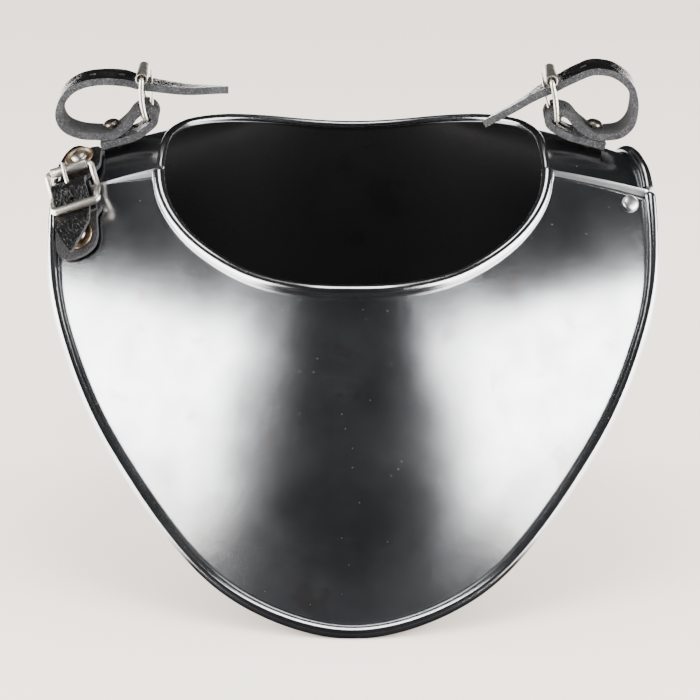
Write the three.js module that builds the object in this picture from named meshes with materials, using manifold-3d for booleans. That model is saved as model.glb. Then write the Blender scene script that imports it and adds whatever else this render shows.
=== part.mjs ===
// A steel mantle gorget: two plates with rolled edges that meet at the shoulders, a pivot rivet at one
// shoulder, a strap and buckle at the other, and a buckled leather loop on top of each shoulder.
// Millimetres. X runs to the wearer's left, Y to the wearer's back, Z up. The gorget stands on its lower edges.

import * as THREE from "three";
import Module from "manifold-3d";
import { mergeVertices } from "three/addons/utils/BufferGeometryUtils.js";

const wasm = await Module();
wasm.setup();

// Sizes of the two plates
const sheetThickness = 1.2;
const neckHalfWidth = 93;
const neckFrontReach = 70;
const neckBackReach = 62;
const neckFrontHeight = 152;
const collarRise = 51;
const mantleHalfWidth = 141;
const mantleFrontReach = 117;
const mantleBackReach = 120;
const shoulderHeight = 188.5;
const plateBulge = 16;
const frontNeckRoll = 6.4;
const backNeckRoll = 4.2;
const outerRoll = 5.8;
const footHeight = 1.9;
const lipHeight = 3;
const lipRun = 4;
const tongueLength = 16;
const tongueInset = 3;

// Sizes of the leather, the buckles and the rivets
const clearance = 0.3;
const strapThickness = 3.4;
const strapWidth = 18;
const strapReach = 50;
const strapRise = 40;
const strapSeat = 0.9;
const sideStrapThickness = 2.2;
const sideStrapWidth = 17;
const sideStrapReach = 36;
const chapeWidth = 16;
const chapeTabWidth = 22;
const wireThickness = 2.4;
const shoulderFrameLength = 20;
const shoulderFrameCorner = 3;
const shoulderRoller = 5.8;
const foldRoom = 1.2;
const sideFrameLength = 22.2;
const sideFrameCorner = 2.6;
const keeperFlat = 2.6;
const sideRoller = 4.2;
const rollerEndRoom = 0.3;
const prongThickness = 1.9;
const prongSlotRoom = 1;
const punchedHole = 2.4;
const frameSideRoom = 0.6;
const seatLift = 0.9;
const rivetShank = 3.6;
const rivetHead = 8;
const rivetHeadHeight = 2.2;
const rivetPlay = 0.8;
const rivetRim = 0.3;
const shoulderRivetLift = 1.9;
const peenedHead = 6;
const peenedHeight = 1.4;
const washerWidth = 14;
const washerThickness = 0.8;
const pivotHead = 8.4;

// Where things sit on the plates: turn counts from 0 at the front to 2 at the back, reach from the neck to the edge
const pivotPlace = { turn: 0.955, reach: 0.8 };
const shoulderStrapPlace = { turn: 1.235, reach: 0.55 };
const sideClosurePlace = { turn: -1, reach: 0.81 };
const sideClosureLean = 18;

// Where the side closure's rivets sit in its own frame: shares of the strap's reach along and of its width aside
const upperRivetPlace = { along: -0.414, aside: 0.265 };
const lowerRivetPlace = { along: 0.738, aside: -0.141 };

const steel = new THREE.MeshStandardMaterial({ color: 0x8d9197, roughness: 0.28, metalness: 1 });
const nickel = new THREE.MeshStandardMaterial({ color: 0xd9d3c4, roughness: 0.25, metalness: 1 });
const leather = new THREE.MeshStandardMaterial({ color: 0x1b1a1b, roughness: 0.6, metalness: 0 });
const bronze = new THREE.MeshStandardMaterial({ color: 0x9a7a4c, roughness: 0.4, metalness: 1 });

// The ribs run from the neck edge to the outer edge, one row for each eighth of a turn, front middle to back
// middle. Every column is a share: side of the half width, deep of the front or back reach (minus is front),
// rise of the collar's rise over the front of the neck, height of the shoulder height.
const ribs = [
  { neckSide: 0, neckDeep: -1, neckRise: 0, side: 0, deep: -1, height: 0.012, bulge: 0.5 },
  { neckSide: 0.177, neckDeep: -0.986, neckRise: 0.003, side: 0.227, deep: -0.962, height: 0.038, bulge: 0.5 },
  { neckSide: 0.353, neckDeep: -0.921, neckRise: 0.018, side: 0.44, deep: -0.863, height: 0.106, bulge: 0.48 },
  { neckSide: 0.516, neckDeep: -0.821, neckRise: 0.06, side: 0.61, deep: -0.739, height: 0.217, bulge: 0.44 },
  { neckSide: 0.661, neckDeep: -0.686, neckRise: 0.137, side: 0.747, deep: -0.611, height: 0.342, bulge: 0.38 },
  { neckSide: 0.79, neckDeep: -0.547, neckRise: 0.25, side: 0.862, deep: -0.487, height: 0.472, bulge: 0.3 },
  { neckSide: 0.889, neckDeep: -0.393, neckRise: 0.38, side: 0.95, deep: -0.359, height: 0.621, bulge: 0.2 },
  { neckSide: 0.96, neckDeep: -0.226, neckRise: 0.545, side: 1, deep: -0.209, height: 0.777, bulge: 0.12 },
  { neckSide: 1, neckDeep: -0.029, neckRise: 0.706, side: 0.998, deep: 0.017, height: 0.939, bulge: 0.06 },
  { neckSide: 0.978, neckDeep: 0.2, neckRise: 0.882, side: 0.974, deep: 0.142, height: 0.994, bulge: 0.06 },
  { neckSide: 0.949, neckDeep: 0.387, neckRise: 0.96, side: 0.943, deep: 0.258, height: 1, bulge: 0.1 },
  { neckSide: 0.892, neckDeep: 0.58, neckRise: 0.996, side: 0.904, deep: 0.392, height: 0.958, bulge: 0.22 },
  { neckSide: 0.805, neckDeep: 0.726, neckRise: 1, side: 0.858, deep: 0.542, height: 0.849, bulge: 0.42 },
  { neckSide: 0.656, neckDeep: 0.852, neckRise: 0.98, side: 0.809, deep: 0.683, height: 0.679, bulge: 0.65 },
  { neckSide: 0.462, neckDeep: 0.94, neckRise: 0.933, side: 0.72, deep: 0.808, height: 0.44, bulge: 0.82 },
  { neckSide: 0.237, neckDeep: 0.989, neckRise: 0.873, side: 0.51, deep: 0.933, height: 0.1, bulge: 0.95 },
  { neckSide: 0, neckDeep: 1, neckRise: 0.849, side: 0, deep: 1, height: -0.03, bulge: 1 },
];

// The front plate's shoulder edge turns up into a lip, and its rolled edges end round. back and rise are shares
// of the lip's run and height, bend is the sheet's turn in degrees, roll the share of the rolled edge left.
const lipRows = [
  { back: 1, rise: 0, bend: 0, roll: 1 },
  { back: 0.5, rise: 0.05, bend: 18, roll: 0.92 },
  { back: 0.25, rise: 0.28, bend: 48, roll: 0.75 },
  { back: 0.08, rise: 0.65, bend: 70, roll: 0.5 },
  { back: 0, rise: 1, bend: 78, roll: 0.1 },
];

// A smooth closed curve through the ribs' values, right half then mirrored left half
function ribColumn(name, mirrored) {
  const last = ribs.length - 1;
  const values = [];
  for (let i = 0; i < 2 * last; i += 1) {
    const row = i <= last ? ribs[i] : ribs[2 * last - i];
    values.push(i > last && mirrored ? -row[name] : row[name]);
  }
  const count = values.length;
  let slopes = values.map((value, i) => (values[(i + 1) % count] - values[(i + count - 1) % count]) / 2);
  for (let round = 0; round < 40; round += 1) {
    slopes = slopes.map((slope, i) => {
      const before = (i + count - 1) % count;
      const after = (i + 1) % count;
      return (3 * (values[after] - values[before]) - slopes[before] - slopes[after]) / 4;
    });
  }
  return (turn) => {
    const place = ((turn / 2) * last + count) % count;
    const i = Math.floor(place) % count;
    const next = (i + 1) % count;
    const f = place - Math.floor(place);
    const rising = f * f * (3 - 2 * f);
    return (
      values[i] * (1 - rising) +
      values[next] * rising +
      slopes[i] * f * (1 - f) * (1 - f) -
      slopes[next] * f * f * (1 - f)
    );
  };
}

const neckSideAt = ribColumn("neckSide", true);
const neckDeepAt = ribColumn("neckDeep", false);
const neckRiseAt = ribColumn("neckRise", false);
const sideAt = ribColumn("side", true);
const deepAt = ribColumn("deep", false);
const heightAt = ribColumn("height", false);
const bulgeAt = ribColumn("bulge", false);

function neckPoint(turn) {
  const deep = neckDeepAt(turn);
  return new THREE.Vector3(
    neckSideAt(turn) * neckHalfWidth,
    deep * (deep < 0 ? neckFrontReach : neckBackReach),
    neckFrontHeight + neckRiseAt(turn) * collarRise,
  );
}

function edgePoint(turn) {
  const deep = deepAt(turn);
  return new THREE.Vector3(
    sideAt(turn) * mantleHalfWidth,
    deep * (deep < 0 ? mantleFrontReach : mantleBackReach),
    Math.max(heightAt(turn) * shoulderHeight, footHeight),
  );
}

// A point of the mantle's surface, which bulges outwards between the neck edge and the outer edge
function mantlePoint(turn, reach) {
  const neck = neckPoint(turn);
  const edge = edgePoint(turn);
  const step = 0.01;
  const across = neckPoint(turn + step).sub(neckPoint(turn - step));
  across.add(edgePoint(turn + step).sub(edgePoint(turn - step)));
  const outwards = edge.clone().sub(neck).cross(across).normalize();
  const swell = 4 * reach * (1 - reach) * bulgeAt(turn) * plateBulge;
  return neck.lerp(edge, reach).addScaledVector(outwards, swell);
}

// The surface's directions at a point: along towards the back, down towards the outer edge, and out of the sheet
function mantleFrame(turn, reach) {
  const step = 0.004;
  const along = mantlePoint(turn + step, reach).sub(mantlePoint(turn - step, reach)).normalize();
  const down = mantlePoint(turn, reach + step).sub(mantlePoint(turn, reach - step)).normalize();
  const out = down.clone().cross(along).normalize();
  return { point: mantlePoint(turn, reach), along, down, out };
}

// The ribs follow the middle of the front plate's rolls, so its sheet lies inside them, and the back plate's
// sheet lies one sheet and the clearance further in
function frontSheetDepth(reach) {
  return THREE.MathUtils.lerp(frontNeckRoll, outerRoll, reach) / 2 - sheetThickness / 2;
}

function backSheetDepth(reach) {
  return frontSheetDepth(reach) + sheetThickness + clearance;
}

// A closed body through rings of points with the same count, capped flat at both ends unless it joins up
function loft(rings, joinsUp = false) {
  const count = rings[0].length;
  const positions = rings.flat().flatMap((p) => [p.x, p.y, p.z]);
  const indices = [];
  const bands = joinsUp ? rings.length : rings.length - 1;
  for (let i = 0; i < bands; i += 1) {
    const next = (i + 1) % rings.length;
    for (let j = 0; j < count; j += 1) {
      const k = (j + 1) % count;
      const a = i * count + j;
      const b = i * count + k;
      const c = next * count + k;
      const d = next * count + j;
      indices.push(a, b, c, a, c, d);
    }
  }
  if (!joinsUp) {
    const first = capTriangles(rings[0]);
    const end = (rings.length - 1) * count;
    first.forEach(([a, b, c]) => indices.push(a, c, b));
    capTriangles(rings[rings.length - 1]).forEach(([a, b, c]) => indices.push(end + a, end + b, end + c));
  }
  const geometry = new THREE.BufferGeometry();
  geometry.setAttribute("position", new THREE.Float32BufferAttribute(positions, 3));
  geometry.setIndex(indices);
  return facingOut(geometry);
}

function capTriangles(ring) {
  const centre = ring.reduce((sum, p) => sum.add(p), new THREE.Vector3()).divideScalar(ring.length);
  const normal = new THREE.Vector3();
  ring.forEach((p, i) => {
    const q = ring[(i + 1) % ring.length];
    normal.add(p.clone().sub(centre).cross(q.clone().sub(centre)));
  });
  normal.normalize();
  const right = ring[Math.floor(ring.length / 2)].clone().sub(ring[0]);
  right.addScaledVector(normal, -right.dot(normal)).normalize();
  const up = normal.clone().cross(right);
  const flat = ring.map((p) => {
    const from = p.clone().sub(centre);
    return new THREE.Vector2(from.dot(right), from.dot(up));
  });
  return THREE.ShapeUtils.triangulateShape(flat, []);
}

function volumeOf(geometry) {
  const p = geometry.attributes.position;
  const index = geometry.index;
  const a = new THREE.Vector3();
  const b = new THREE.Vector3();
  const c = new THREE.Vector3();
  let volume = 0;
  for (let i = 0; i < index.count; i += 3) {
    a.fromBufferAttribute(p, index.getX(i));
    b.fromBufferAttribute(p, index.getX(i + 1));
    c.fromBufferAttribute(p, index.getX(i + 2));
    volume += a.dot(b.cross(c)) / 6;
  }
  return volume;
}

function facingOut(geometry) {
  if (volumeOf(geometry) < 0) {
    const index = geometry.index;
    for (let i = 0; i < index.count; i += 3) {
      const second = index.getX(i + 1);
      index.setX(i + 1, index.getX(i + 2));
      index.setX(i + 2, second);
    }
  }
  return geometry;
}

// Solids for cutting and joining
function solid(geometry) {
  const bare = geometry.clone();
  bare.deleteAttribute("normal");
  bare.deleteAttribute("uv");
  const merged = mergeVertices(bare, 1e-4);
  return new wasm.Manifold(
    new wasm.Mesh({
      numProp: 3,
      vertProperties: Float32Array.from(merged.attributes.position.array),
      triVerts: Uint32Array.from(merged.index.array),
    }),
  );
}

function surfaceOf(body) {
  const mesh = body.getMesh();
  const geometry = new THREE.BufferGeometry();
  geometry.setAttribute("position", new THREE.Float32BufferAttribute(mesh.vertProperties, 3));
  geometry.setIndex(Array.from(mesh.triVerts));
  return geometry;
}

function cut(geometry, tools) {
  return surfaceOf(tools.reduce((body, tool) => body.subtract(solid(tool)), solid(geometry)));
}

function join(geometries) {
  return surfaceOf(geometries.slice(1).reduce((body, other) => body.add(solid(other)), solid(geometries[0])));
}

const lathesAxis = new THREE.Vector3(0, 1, 0);

function turnTo(axis) {
  return new THREE.Quaternion().setFromUnitVectors(lathesAxis, axis.clone().normalize());
}

function drill(point, axis, diameter, depth) {
  const tool = new THREE.CylinderGeometry(diameter / 2, diameter / 2, depth, 12);
  tool.applyQuaternion(turnTo(axis));
  tool.translate(point.x, point.y, point.z);
  return tool;
}

// Plates

const neckArcSteps = 6;
const sheetReaches = [0.06, 0.15, 0.28, 0.44, 0.62, 0.8, 0.94];
const frontStations = 34;
const backStations = 34;

// The ring of points round one cross-section of a plate: the neck roll, the outside of the sheet, the outer roll
// and the inside. At a rolled edge the sheet's inside runs on into the roll, which stands proud outside.
function plateSection(station, depthAt) {
  const { neckRoll, edgeRoll, placeAt } = station;
  const ring = [];
  const half = sheetThickness / 2;

  function addRoll(reach, diameter, awayFromSheet) {
    const radius = diameter / 2;
    const spot = placeAt(reach, depthAt(reach));
    const centre = spot.point.clone().addScaledVector(spot.out, radius - half);
    const run = Math.sqrt(Math.max(2 * radius * sheetThickness - sheetThickness ** 2, 0));
    const seam = Math.atan2(sheetThickness - radius, run);
    const points = [];
    for (let i = 0; i <= neckArcSteps; i += 1) {
      const angle = THREE.MathUtils.lerp(1.5 * Math.PI, seam, i / neckArcSteps);
      const p = centre.clone().addScaledVector(spot.down, radius * Math.cos(angle) * awayFromSheet);
      points.push(p.addScaledVector(spot.out, radius * Math.sin(angle)));
    }
    return points;
  }

  ring.push(...addRoll(0, neckRoll, 1));
  for (const reach of sheetReaches) {
    const spot = placeAt(reach, depthAt(reach));
    ring.push(spot.point.clone().addScaledVector(spot.thick, half));
  }
  ring.push(...addRoll(1, edgeRoll, -1).reverse());
  for (const reach of [...sheetReaches].reverse()) {
    const spot = placeAt(reach, depthAt(reach));
    ring.push(spot.point.clone().addScaledVector(spot.thick, -half));
  }
  ring.forEach((p) => {
    p.z = Math.max(p.z, 0);
  });
  return ring;
}

// A cross-section at a turn, moved towards the back by `past` and lifted out of the sheet by `rise`
function stationAt(turn, neckRoll, edgeRoll, past = 0, rise = 0, bend = 0, riseAt = () => 1, inset = 0) {
  function placeAt(reach, depth) {
    const length = neckPoint(turn).distanceTo(edgePoint(turn));
    const kept = THREE.MathUtils.lerp(inset / length, 1 - inset / length, reach);
    const step = 0.01;
    const speed = mantlePoint(turn + step, kept).distanceTo(mantlePoint(turn - step, kept)) / (2 * step);
    const frame = mantleFrame(turn + past / speed, kept);
    const share = riseAt(reach);
    const angle = THREE.MathUtils.degToRad(bend * share);
    const sideways = Math.sign(turn || 1);
    const point = frame.point.clone().addScaledVector(frame.out, rise * share - depth);
    const thick = frame.out.clone().multiplyScalar(Math.cos(angle));
    thick.addScaledVector(frame.along, -sideways * Math.sin(angle));
    return { point, out: frame.out, down: frame.down, thick };
  }
  return { neckRoll, edgeRoll, placeAt };
}

// The lip fades out before the rolls, and on the buckle's side before the strap
function lipShare(side) {
  const fadeEnd = side < 0 ? 0.5 : 1;
  return (reach) => {
    const atRolls = reach <= 0 || reach >= 1 ? 0 : 1;
    const slope = side < 0 ? Math.max(1 - reach / fadeEnd, 0) : 0.65 + 0.35 * reach;
    return atRolls * slope;
  };
}

// Turns from one to another, spaced half by the turn itself and half by length along the mantle's outer edge
function spacedTurns(from, to, steps) {
  const fine = 400;
  const lengths = [0];
  for (let i = 1; i <= fine; i += 1) {
    const before = edgePoint(THREE.MathUtils.lerp(from, to, (i - 1) / fine));
    const here = edgePoint(THREE.MathUtils.lerp(from, to, i / fine));
    lengths.push(lengths[i - 1] + here.distanceTo(before));
  }
  const turns = [];
  for (let i = 0; i <= steps; i += 1) {
    const goal = (lengths[fine] * i) / steps;
    const place = lengths.findIndex((length) => length >= goal - 1e-9);
    const run = place > 0 ? (goal - lengths[place - 1]) / (lengths[place] - lengths[place - 1]) - 1 : 0;
    turns.push(THREE.MathUtils.lerp(from, to, ((place + run) / fine + i / steps) / 2));
  }
  return turns;
}

function frontPlate(holes) {
  const stations = [];
  const turnNearLip = 0.95;
  function endRows(side) {
    return lipRows.map((row) =>
      stationAt(
        side,
        Math.max(frontNeckRoll * row.roll, sheetThickness),
        Math.max(outerRoll * row.roll, sheetThickness),
        -side * row.back * lipRun,
        row.rise * lipHeight,
        row.bend,
        lipShare(side),
      ),
    );
  }
  stations.push(...endRows(-1).reverse());
  for (const turn of spacedTurns(-turnNearLip, turnNearLip, frontStations)) {
    stations.push(stationAt(turn, frontNeckRoll, outerRoll));
  }
  stations.push(...endRows(1));
  return cut(loft(stations.map((station) => plateSection(station, frontSheetDepth))), holes);
}

// The back plate's rolls stop behind the front plate, and plain tongues run on under it
function backPlate(holes) {
  const stations = [];
  const rollStart = lipRun * 0.25 + clearance;
  const tongueSteps = 4;
  function tongue(side) {
    const rows = [];
    for (let i = 0; i <= tongueSteps; i += 1) {
      const past = THREE.MathUtils.lerp(-tongueLength, rollStart - clearance, i / tongueSteps);
      rows.push(stationAt(side, sheetThickness, sheetThickness, side * past, 0, 0, () => 1, tongueInset));
    }
    return rows;
  }
  stations.push(...tongue(1));
  spacedTurns(1, 3, backStations).forEach((turn, i) => {
    const past = i === 0 ? rollStart : i === backStations ? -rollStart : 0;
    stations.push(stationAt(turn, backNeckRoll, outerRoll, past));
  });
  stations.push(...tongue(-1).reverse());
  return cut(loft(stations.map((station) => plateSection(station, backSheetDepth))), holes);
}

// Rivets, turned about their own axis: the domed head starts at zero and the peened head ends the stack
function rivet(headDiameter, stack) {
  const head = headDiameter / 2;
  const shank = rivetShank / 2;
  const foot = -stack - rivetPlay;
  const outline = [new THREE.Vector2(0, foot - peenedHeight)];
  outline.push(new THREE.Vector2(peenedHead * 0.38, foot - peenedHeight));
  outline.push(new THREE.Vector2(peenedHead / 2, foot - peenedHeight * 0.4));
  outline.push(new THREE.Vector2(peenedHead / 2, foot));
  outline.push(new THREE.Vector2(shank, foot));
  outline.push(new THREE.Vector2(shank, clearance));
  const domeSteps = 3;
  for (let i = 0; i <= domeSteps; i += 1) {
    const angle = (i / domeSteps) * (Math.PI / 2);
    const height = clearance + rivetRim + rivetHeadHeight * Math.sin(angle);
    if (i === 0) outline.push(new THREE.Vector2(head, clearance));
    outline.push(new THREE.Vector2(i === domeSteps ? 0 : head * Math.cos(angle), height));
  }
  return new THREE.LatheGeometry(outline, 12);
}

// A dished washer: a low cone with a flat rim, round a hole for the shank
function washer() {
  const hole = rivetShank / 2 + clearance;
  const outline = [
    new THREE.Vector2(hole, 0),
    new THREE.Vector2(washerWidth * 0.4, 0),
    new THREE.Vector2(washerWidth / 2, washerThickness),
    new THREE.Vector2(washerWidth / 2, washerThickness * 2),
    new THREE.Vector2(washerWidth * 0.42, washerThickness * 2),
    new THREE.Vector2(washerWidth * 0.36, washerThickness),
    new THREE.Vector2(hole, washerThickness),
    new THREE.Vector2(hole, 0),
  ];
  return new THREE.LatheGeometry(outline, 16);
}

// Leather strips: a rectangle carried along a route in a plane, in the strip's own frame of
// x along, y across and z up. A row may set its middle to one side and tilt across the route, in radians.
function strip(route, thickness, stations) {
  const curve = new THREE.CatmullRomCurve3(
    route.map((row) => new THREE.Vector3(row.x, 0, row.z)),
    false,
    "centripetal",
  );
  const widths = new THREE.CatmullRomCurve3(
    route.map((row) => new THREE.Vector3(row.wide, row.middle ?? 0, row.tilt ?? 0)),
    false,
    "centripetal",
  );
  const rings = [];
  for (let i = 0; i <= stations; i += 1) {
    const share = curve.getUtoTmapping(i / stations);
    const p = curve.getPoint(share);
    const tangent = curve.getTangent(share);
    const normal = new THREE.Vector3(-tangent.z, 0, tangent.x);
    const wide = widths.getPoint(share);
    const across = normal.clone().multiplyScalar(Math.sin(wide.z));
    across.y = Math.cos(wide.z);
    const thick = normal.clone().multiplyScalar(Math.cos(wide.z));
    thick.y = -Math.sin(wide.z);
    const corners = [
      [1, 1],
      [1, -1],
      [-1, -1],
      [-1, 1],
    ];
    rings.push(
      corners.map(([side, top]) => {
        const corner = p.clone().addScaledVector(thick, (top * thickness) / 2);
        corner.y += wide.y;
        return corner.addScaledVector(across, (side * wide.x) / 2);
      }),
    );
  }
  return loft(rings);
}

// Round wire along points, open with flat ends or joined up in a ring
function wire(points, diameter, sides, joinsUp = false) {
  const count = points.length;
  const rings = [];
  let side = null;
  points.forEach((p, i) => {
    const before = points[joinsUp ? (i + count - 1) % count : Math.max(i - 1, 0)];
    const after = points[joinsUp ? (i + 1) % count : Math.min(i + 1, count - 1)];
    const tangent = after.clone().sub(before).normalize();
    if (!side) {
      const start = Math.abs(tangent.y) < 0.9 ? new THREE.Vector3(0, 1, 0) : new THREE.Vector3(1, 0, 0);
      side = start.cross(tangent).normalize();
    }
    side.addScaledVector(tangent, -side.dot(tangent)).normalize();
    const up = tangent.clone().cross(side);
    const ring = [];
    for (let j = 0; j < sides; j += 1) {
      const angle = (2 * Math.PI * (j + 0.5)) / sides;
      const spot = p.clone().addScaledVector(side, (Math.cos(angle) * diameter) / 2);
      ring.push(spot.addScaledVector(up, (Math.sin(angle) * diameter) / 2));
    }
    rings.push(ring);
  });
  return loft(rings, joinsUp);
}

function rollerTube(diameter, length) {
  const inner = wireThickness / 2 + clearance;
  const outer = diameter / 2;
  const outline = [
    new THREE.Vector2(inner, -length / 2),
    new THREE.Vector2(outer, -length / 2),
    new THREE.Vector2(outer, length / 2),
    new THREE.Vector2(inner, length / 2),
    new THREE.Vector2(inner, -length / 2),
  ];
  return new THREE.LatheGeometry(outline, 14);
}

// A prong turns on a bar by its eye and rests its tip on the far side of the roller: towards points from the bar
// to the roller, over to the side on which the prong lies
function prongRoute(barCentre, rollerCentre, over, rollerDiameter) {
  const towards = rollerCentre.clone().sub(barCentre).normalize();
  const eye = wireThickness / 2 + clearance + prongThickness / 2;
  const rest = rollerDiameter / 2 + clearance + prongThickness / 2;
  const points = [];
  for (let degrees = 320; degrees >= 60; degrees -= 37) {
    const angle = THREE.MathUtils.degToRad(degrees);
    const p = barCentre.clone().addScaledVector(towards, eye * Math.cos(angle));
    points.push(p.addScaledVector(over, eye * Math.sin(angle)));
  }
  const start = points[points.length - 1];
  const end = rollerCentre.clone().addScaledVector(over, rest).addScaledVector(towards, prongThickness * 0.8);
  points.push(start.clone().lerp(end, 0.5), end);
  return { points, start, end };
}

function prongHole({ start, end }) {
  const way = end.clone().sub(start);
  return drill(start.clone().lerp(end, 0.5), way, prongThickness + 6 * clearance, way.length() * 1.1);
}

const group = new THREE.Group();

function add(parent, name, geometry, material) {
  const mesh = new THREE.Mesh(geometry, material);
  mesh.name = name;
  parent.add(mesh);
  return mesh;
}

function addRivet(parent, name, point, axis, headDiameter, stack) {
  const mesh = add(parent, name, rivet(headDiameter, stack), nickel);
  mesh.position.copy(point);
  mesh.quaternion.copy(turnTo(axis));
  return mesh;
}

const drillDiameter = rivetShank + 2 * clearance;
const drillDepth = 16;
const frontHoles = [];
const backHoles = [];

// The pivot rivet goes through both plates
const pivotFrame = mantleFrame(pivotPlace.turn, pivotPlace.reach);
const pivotTop = pivotFrame.point
  .clone()
  .addScaledVector(pivotFrame.out, sheetThickness / 2 - frontSheetDepth(pivotPlace.reach));
frontHoles.push(drill(pivotTop, pivotFrame.out, drillDiameter, drillDepth));
backHoles.push(drill(pivotTop, pivotFrame.out, drillDiameter, drillDepth));
addRivet(group, "pivot_rivet", pivotTop, pivotFrame.out, pivotHead, 2 * sheetThickness + clearance);

// Shoulder straps. The routes are seen from the front, from the strap's seat on the plate: out is a share of the
// strap's reach, away from the neck, up a share of its rise over the plate's slope, and layer how many thicknesses of
// leather lie below.
const foldRows = [
  { out: 0.15, up: 0.003, layer: 0.5 },
  { out: 0.02, up: 0.019, layer: 0.5 },
  { out: -0.11, up: 0.011, layer: 0.5 },
  { out: -0.25, up: 0.022, layer: 0.5 },
];
const afterFoldRows = [
  { out: -0.216, up: 0.229, layer: 1 },
  { out: -0.148, up: 0.158, layer: 1 },
  { out: -0.072, up: 0.06, layer: 1.5 },
  { out: 0.01, up: 0.024, layer: 1.5 },
  { out: 0.092, up: 0.027, layer: 1.5 },
];
const loopRows = {
  right: [
    { out: 0.18, up: 0.058, layer: 1.5 },
    { out: 0.27, up: 0.245, layer: 0 },
    { out: 0.345, up: 0.326, layer: 0 },
    { out: 0.4, up: 0.441, layer: 0 },
    { out: 0.422, up: 0.583, layer: 0 },
    { out: 0.422, up: 0.718, layer: 0 },
    { out: 0.378, up: 0.878, layer: 0 },
    { out: 0.222, up: 0.978, layer: 0 },
    { out: 0.032, up: 0.946, layer: 0 },
    { out: -0.11, up: 0.833, layer: 0 },
    { out: -0.344, up: 0.594, layer: 0 },
    { out: -0.494, up: 0.441, layer: 0 },
    { out: -0.692, up: 0.212, layer: 0 },
    { out: -1, up: -0.12, layer: 0 },
  ],
  left: [
    { out: 0.2, up: 0.07, layer: 1.5 },
    { out: 0.36, up: 0.287, layer: 0 },
    { out: 0.492, up: 0.418, layer: 0 },
    { out: 0.542, up: 0.561, layer: 0 },
    { out: 0.514, up: 0.736, layer: 0 },
    { out: 0.434, up: 0.843, layer: 0 },
    { out: 0.31, up: 0.884, layer: 0 },
    { out: 0.138, up: 0.861, layer: 0 },
    { out: -0.072, up: 0.775, layer: 0 },
    { out: -0.298, up: 0.623, layer: 0 },
    { out: -0.658, up: 0.434, layer: 0 },
    { out: -1.066, up: 0.277, layer: 0 },
  ],
};
const foldBar = { out: -0.338, up: 0.221 };
const foldTurns = [215, 180, 145, 110, 75];
const frameLean = { right: -8, left: -1 };

function routeRow(slope) {
  return (row) => ({
    x: row.out * strapReach,
    z: row.up * strapRise + row.out * strapReach * slope + (row.layer ?? 0) * (strapThickness + clearance),
    wide: strapWidth,
  });
}

function ringOf(halfLength, halfWidth, cornerRadius, steps, shape, sidePlaces = []) {
  const points = [];
  const corners = [
    [1, 1, 0],
    [-1, 1, 90],
    [-1, -1, 180],
    [1, -1, 270],
  ];
  corners.forEach(([lengthSide, widthSide, start]) => {
    for (let i = 0; i <= steps; i += 1) {
      const angle = THREE.MathUtils.degToRad(start + (90 * i) / steps);
      const along = lengthSide * (halfLength - cornerRadius) + cornerRadius * Math.cos(angle);
      const across = widthSide * (halfWidth - cornerRadius) + cornerRadius * Math.sin(angle);
      points.push(shape(along, across));
    }
    const between = lengthSide === widthSide ? sidePlaces : [];
    between.forEach((place) => points.push(shape(-place * lengthSide, widthSide * halfWidth)));
  });
  return points;
}

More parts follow.
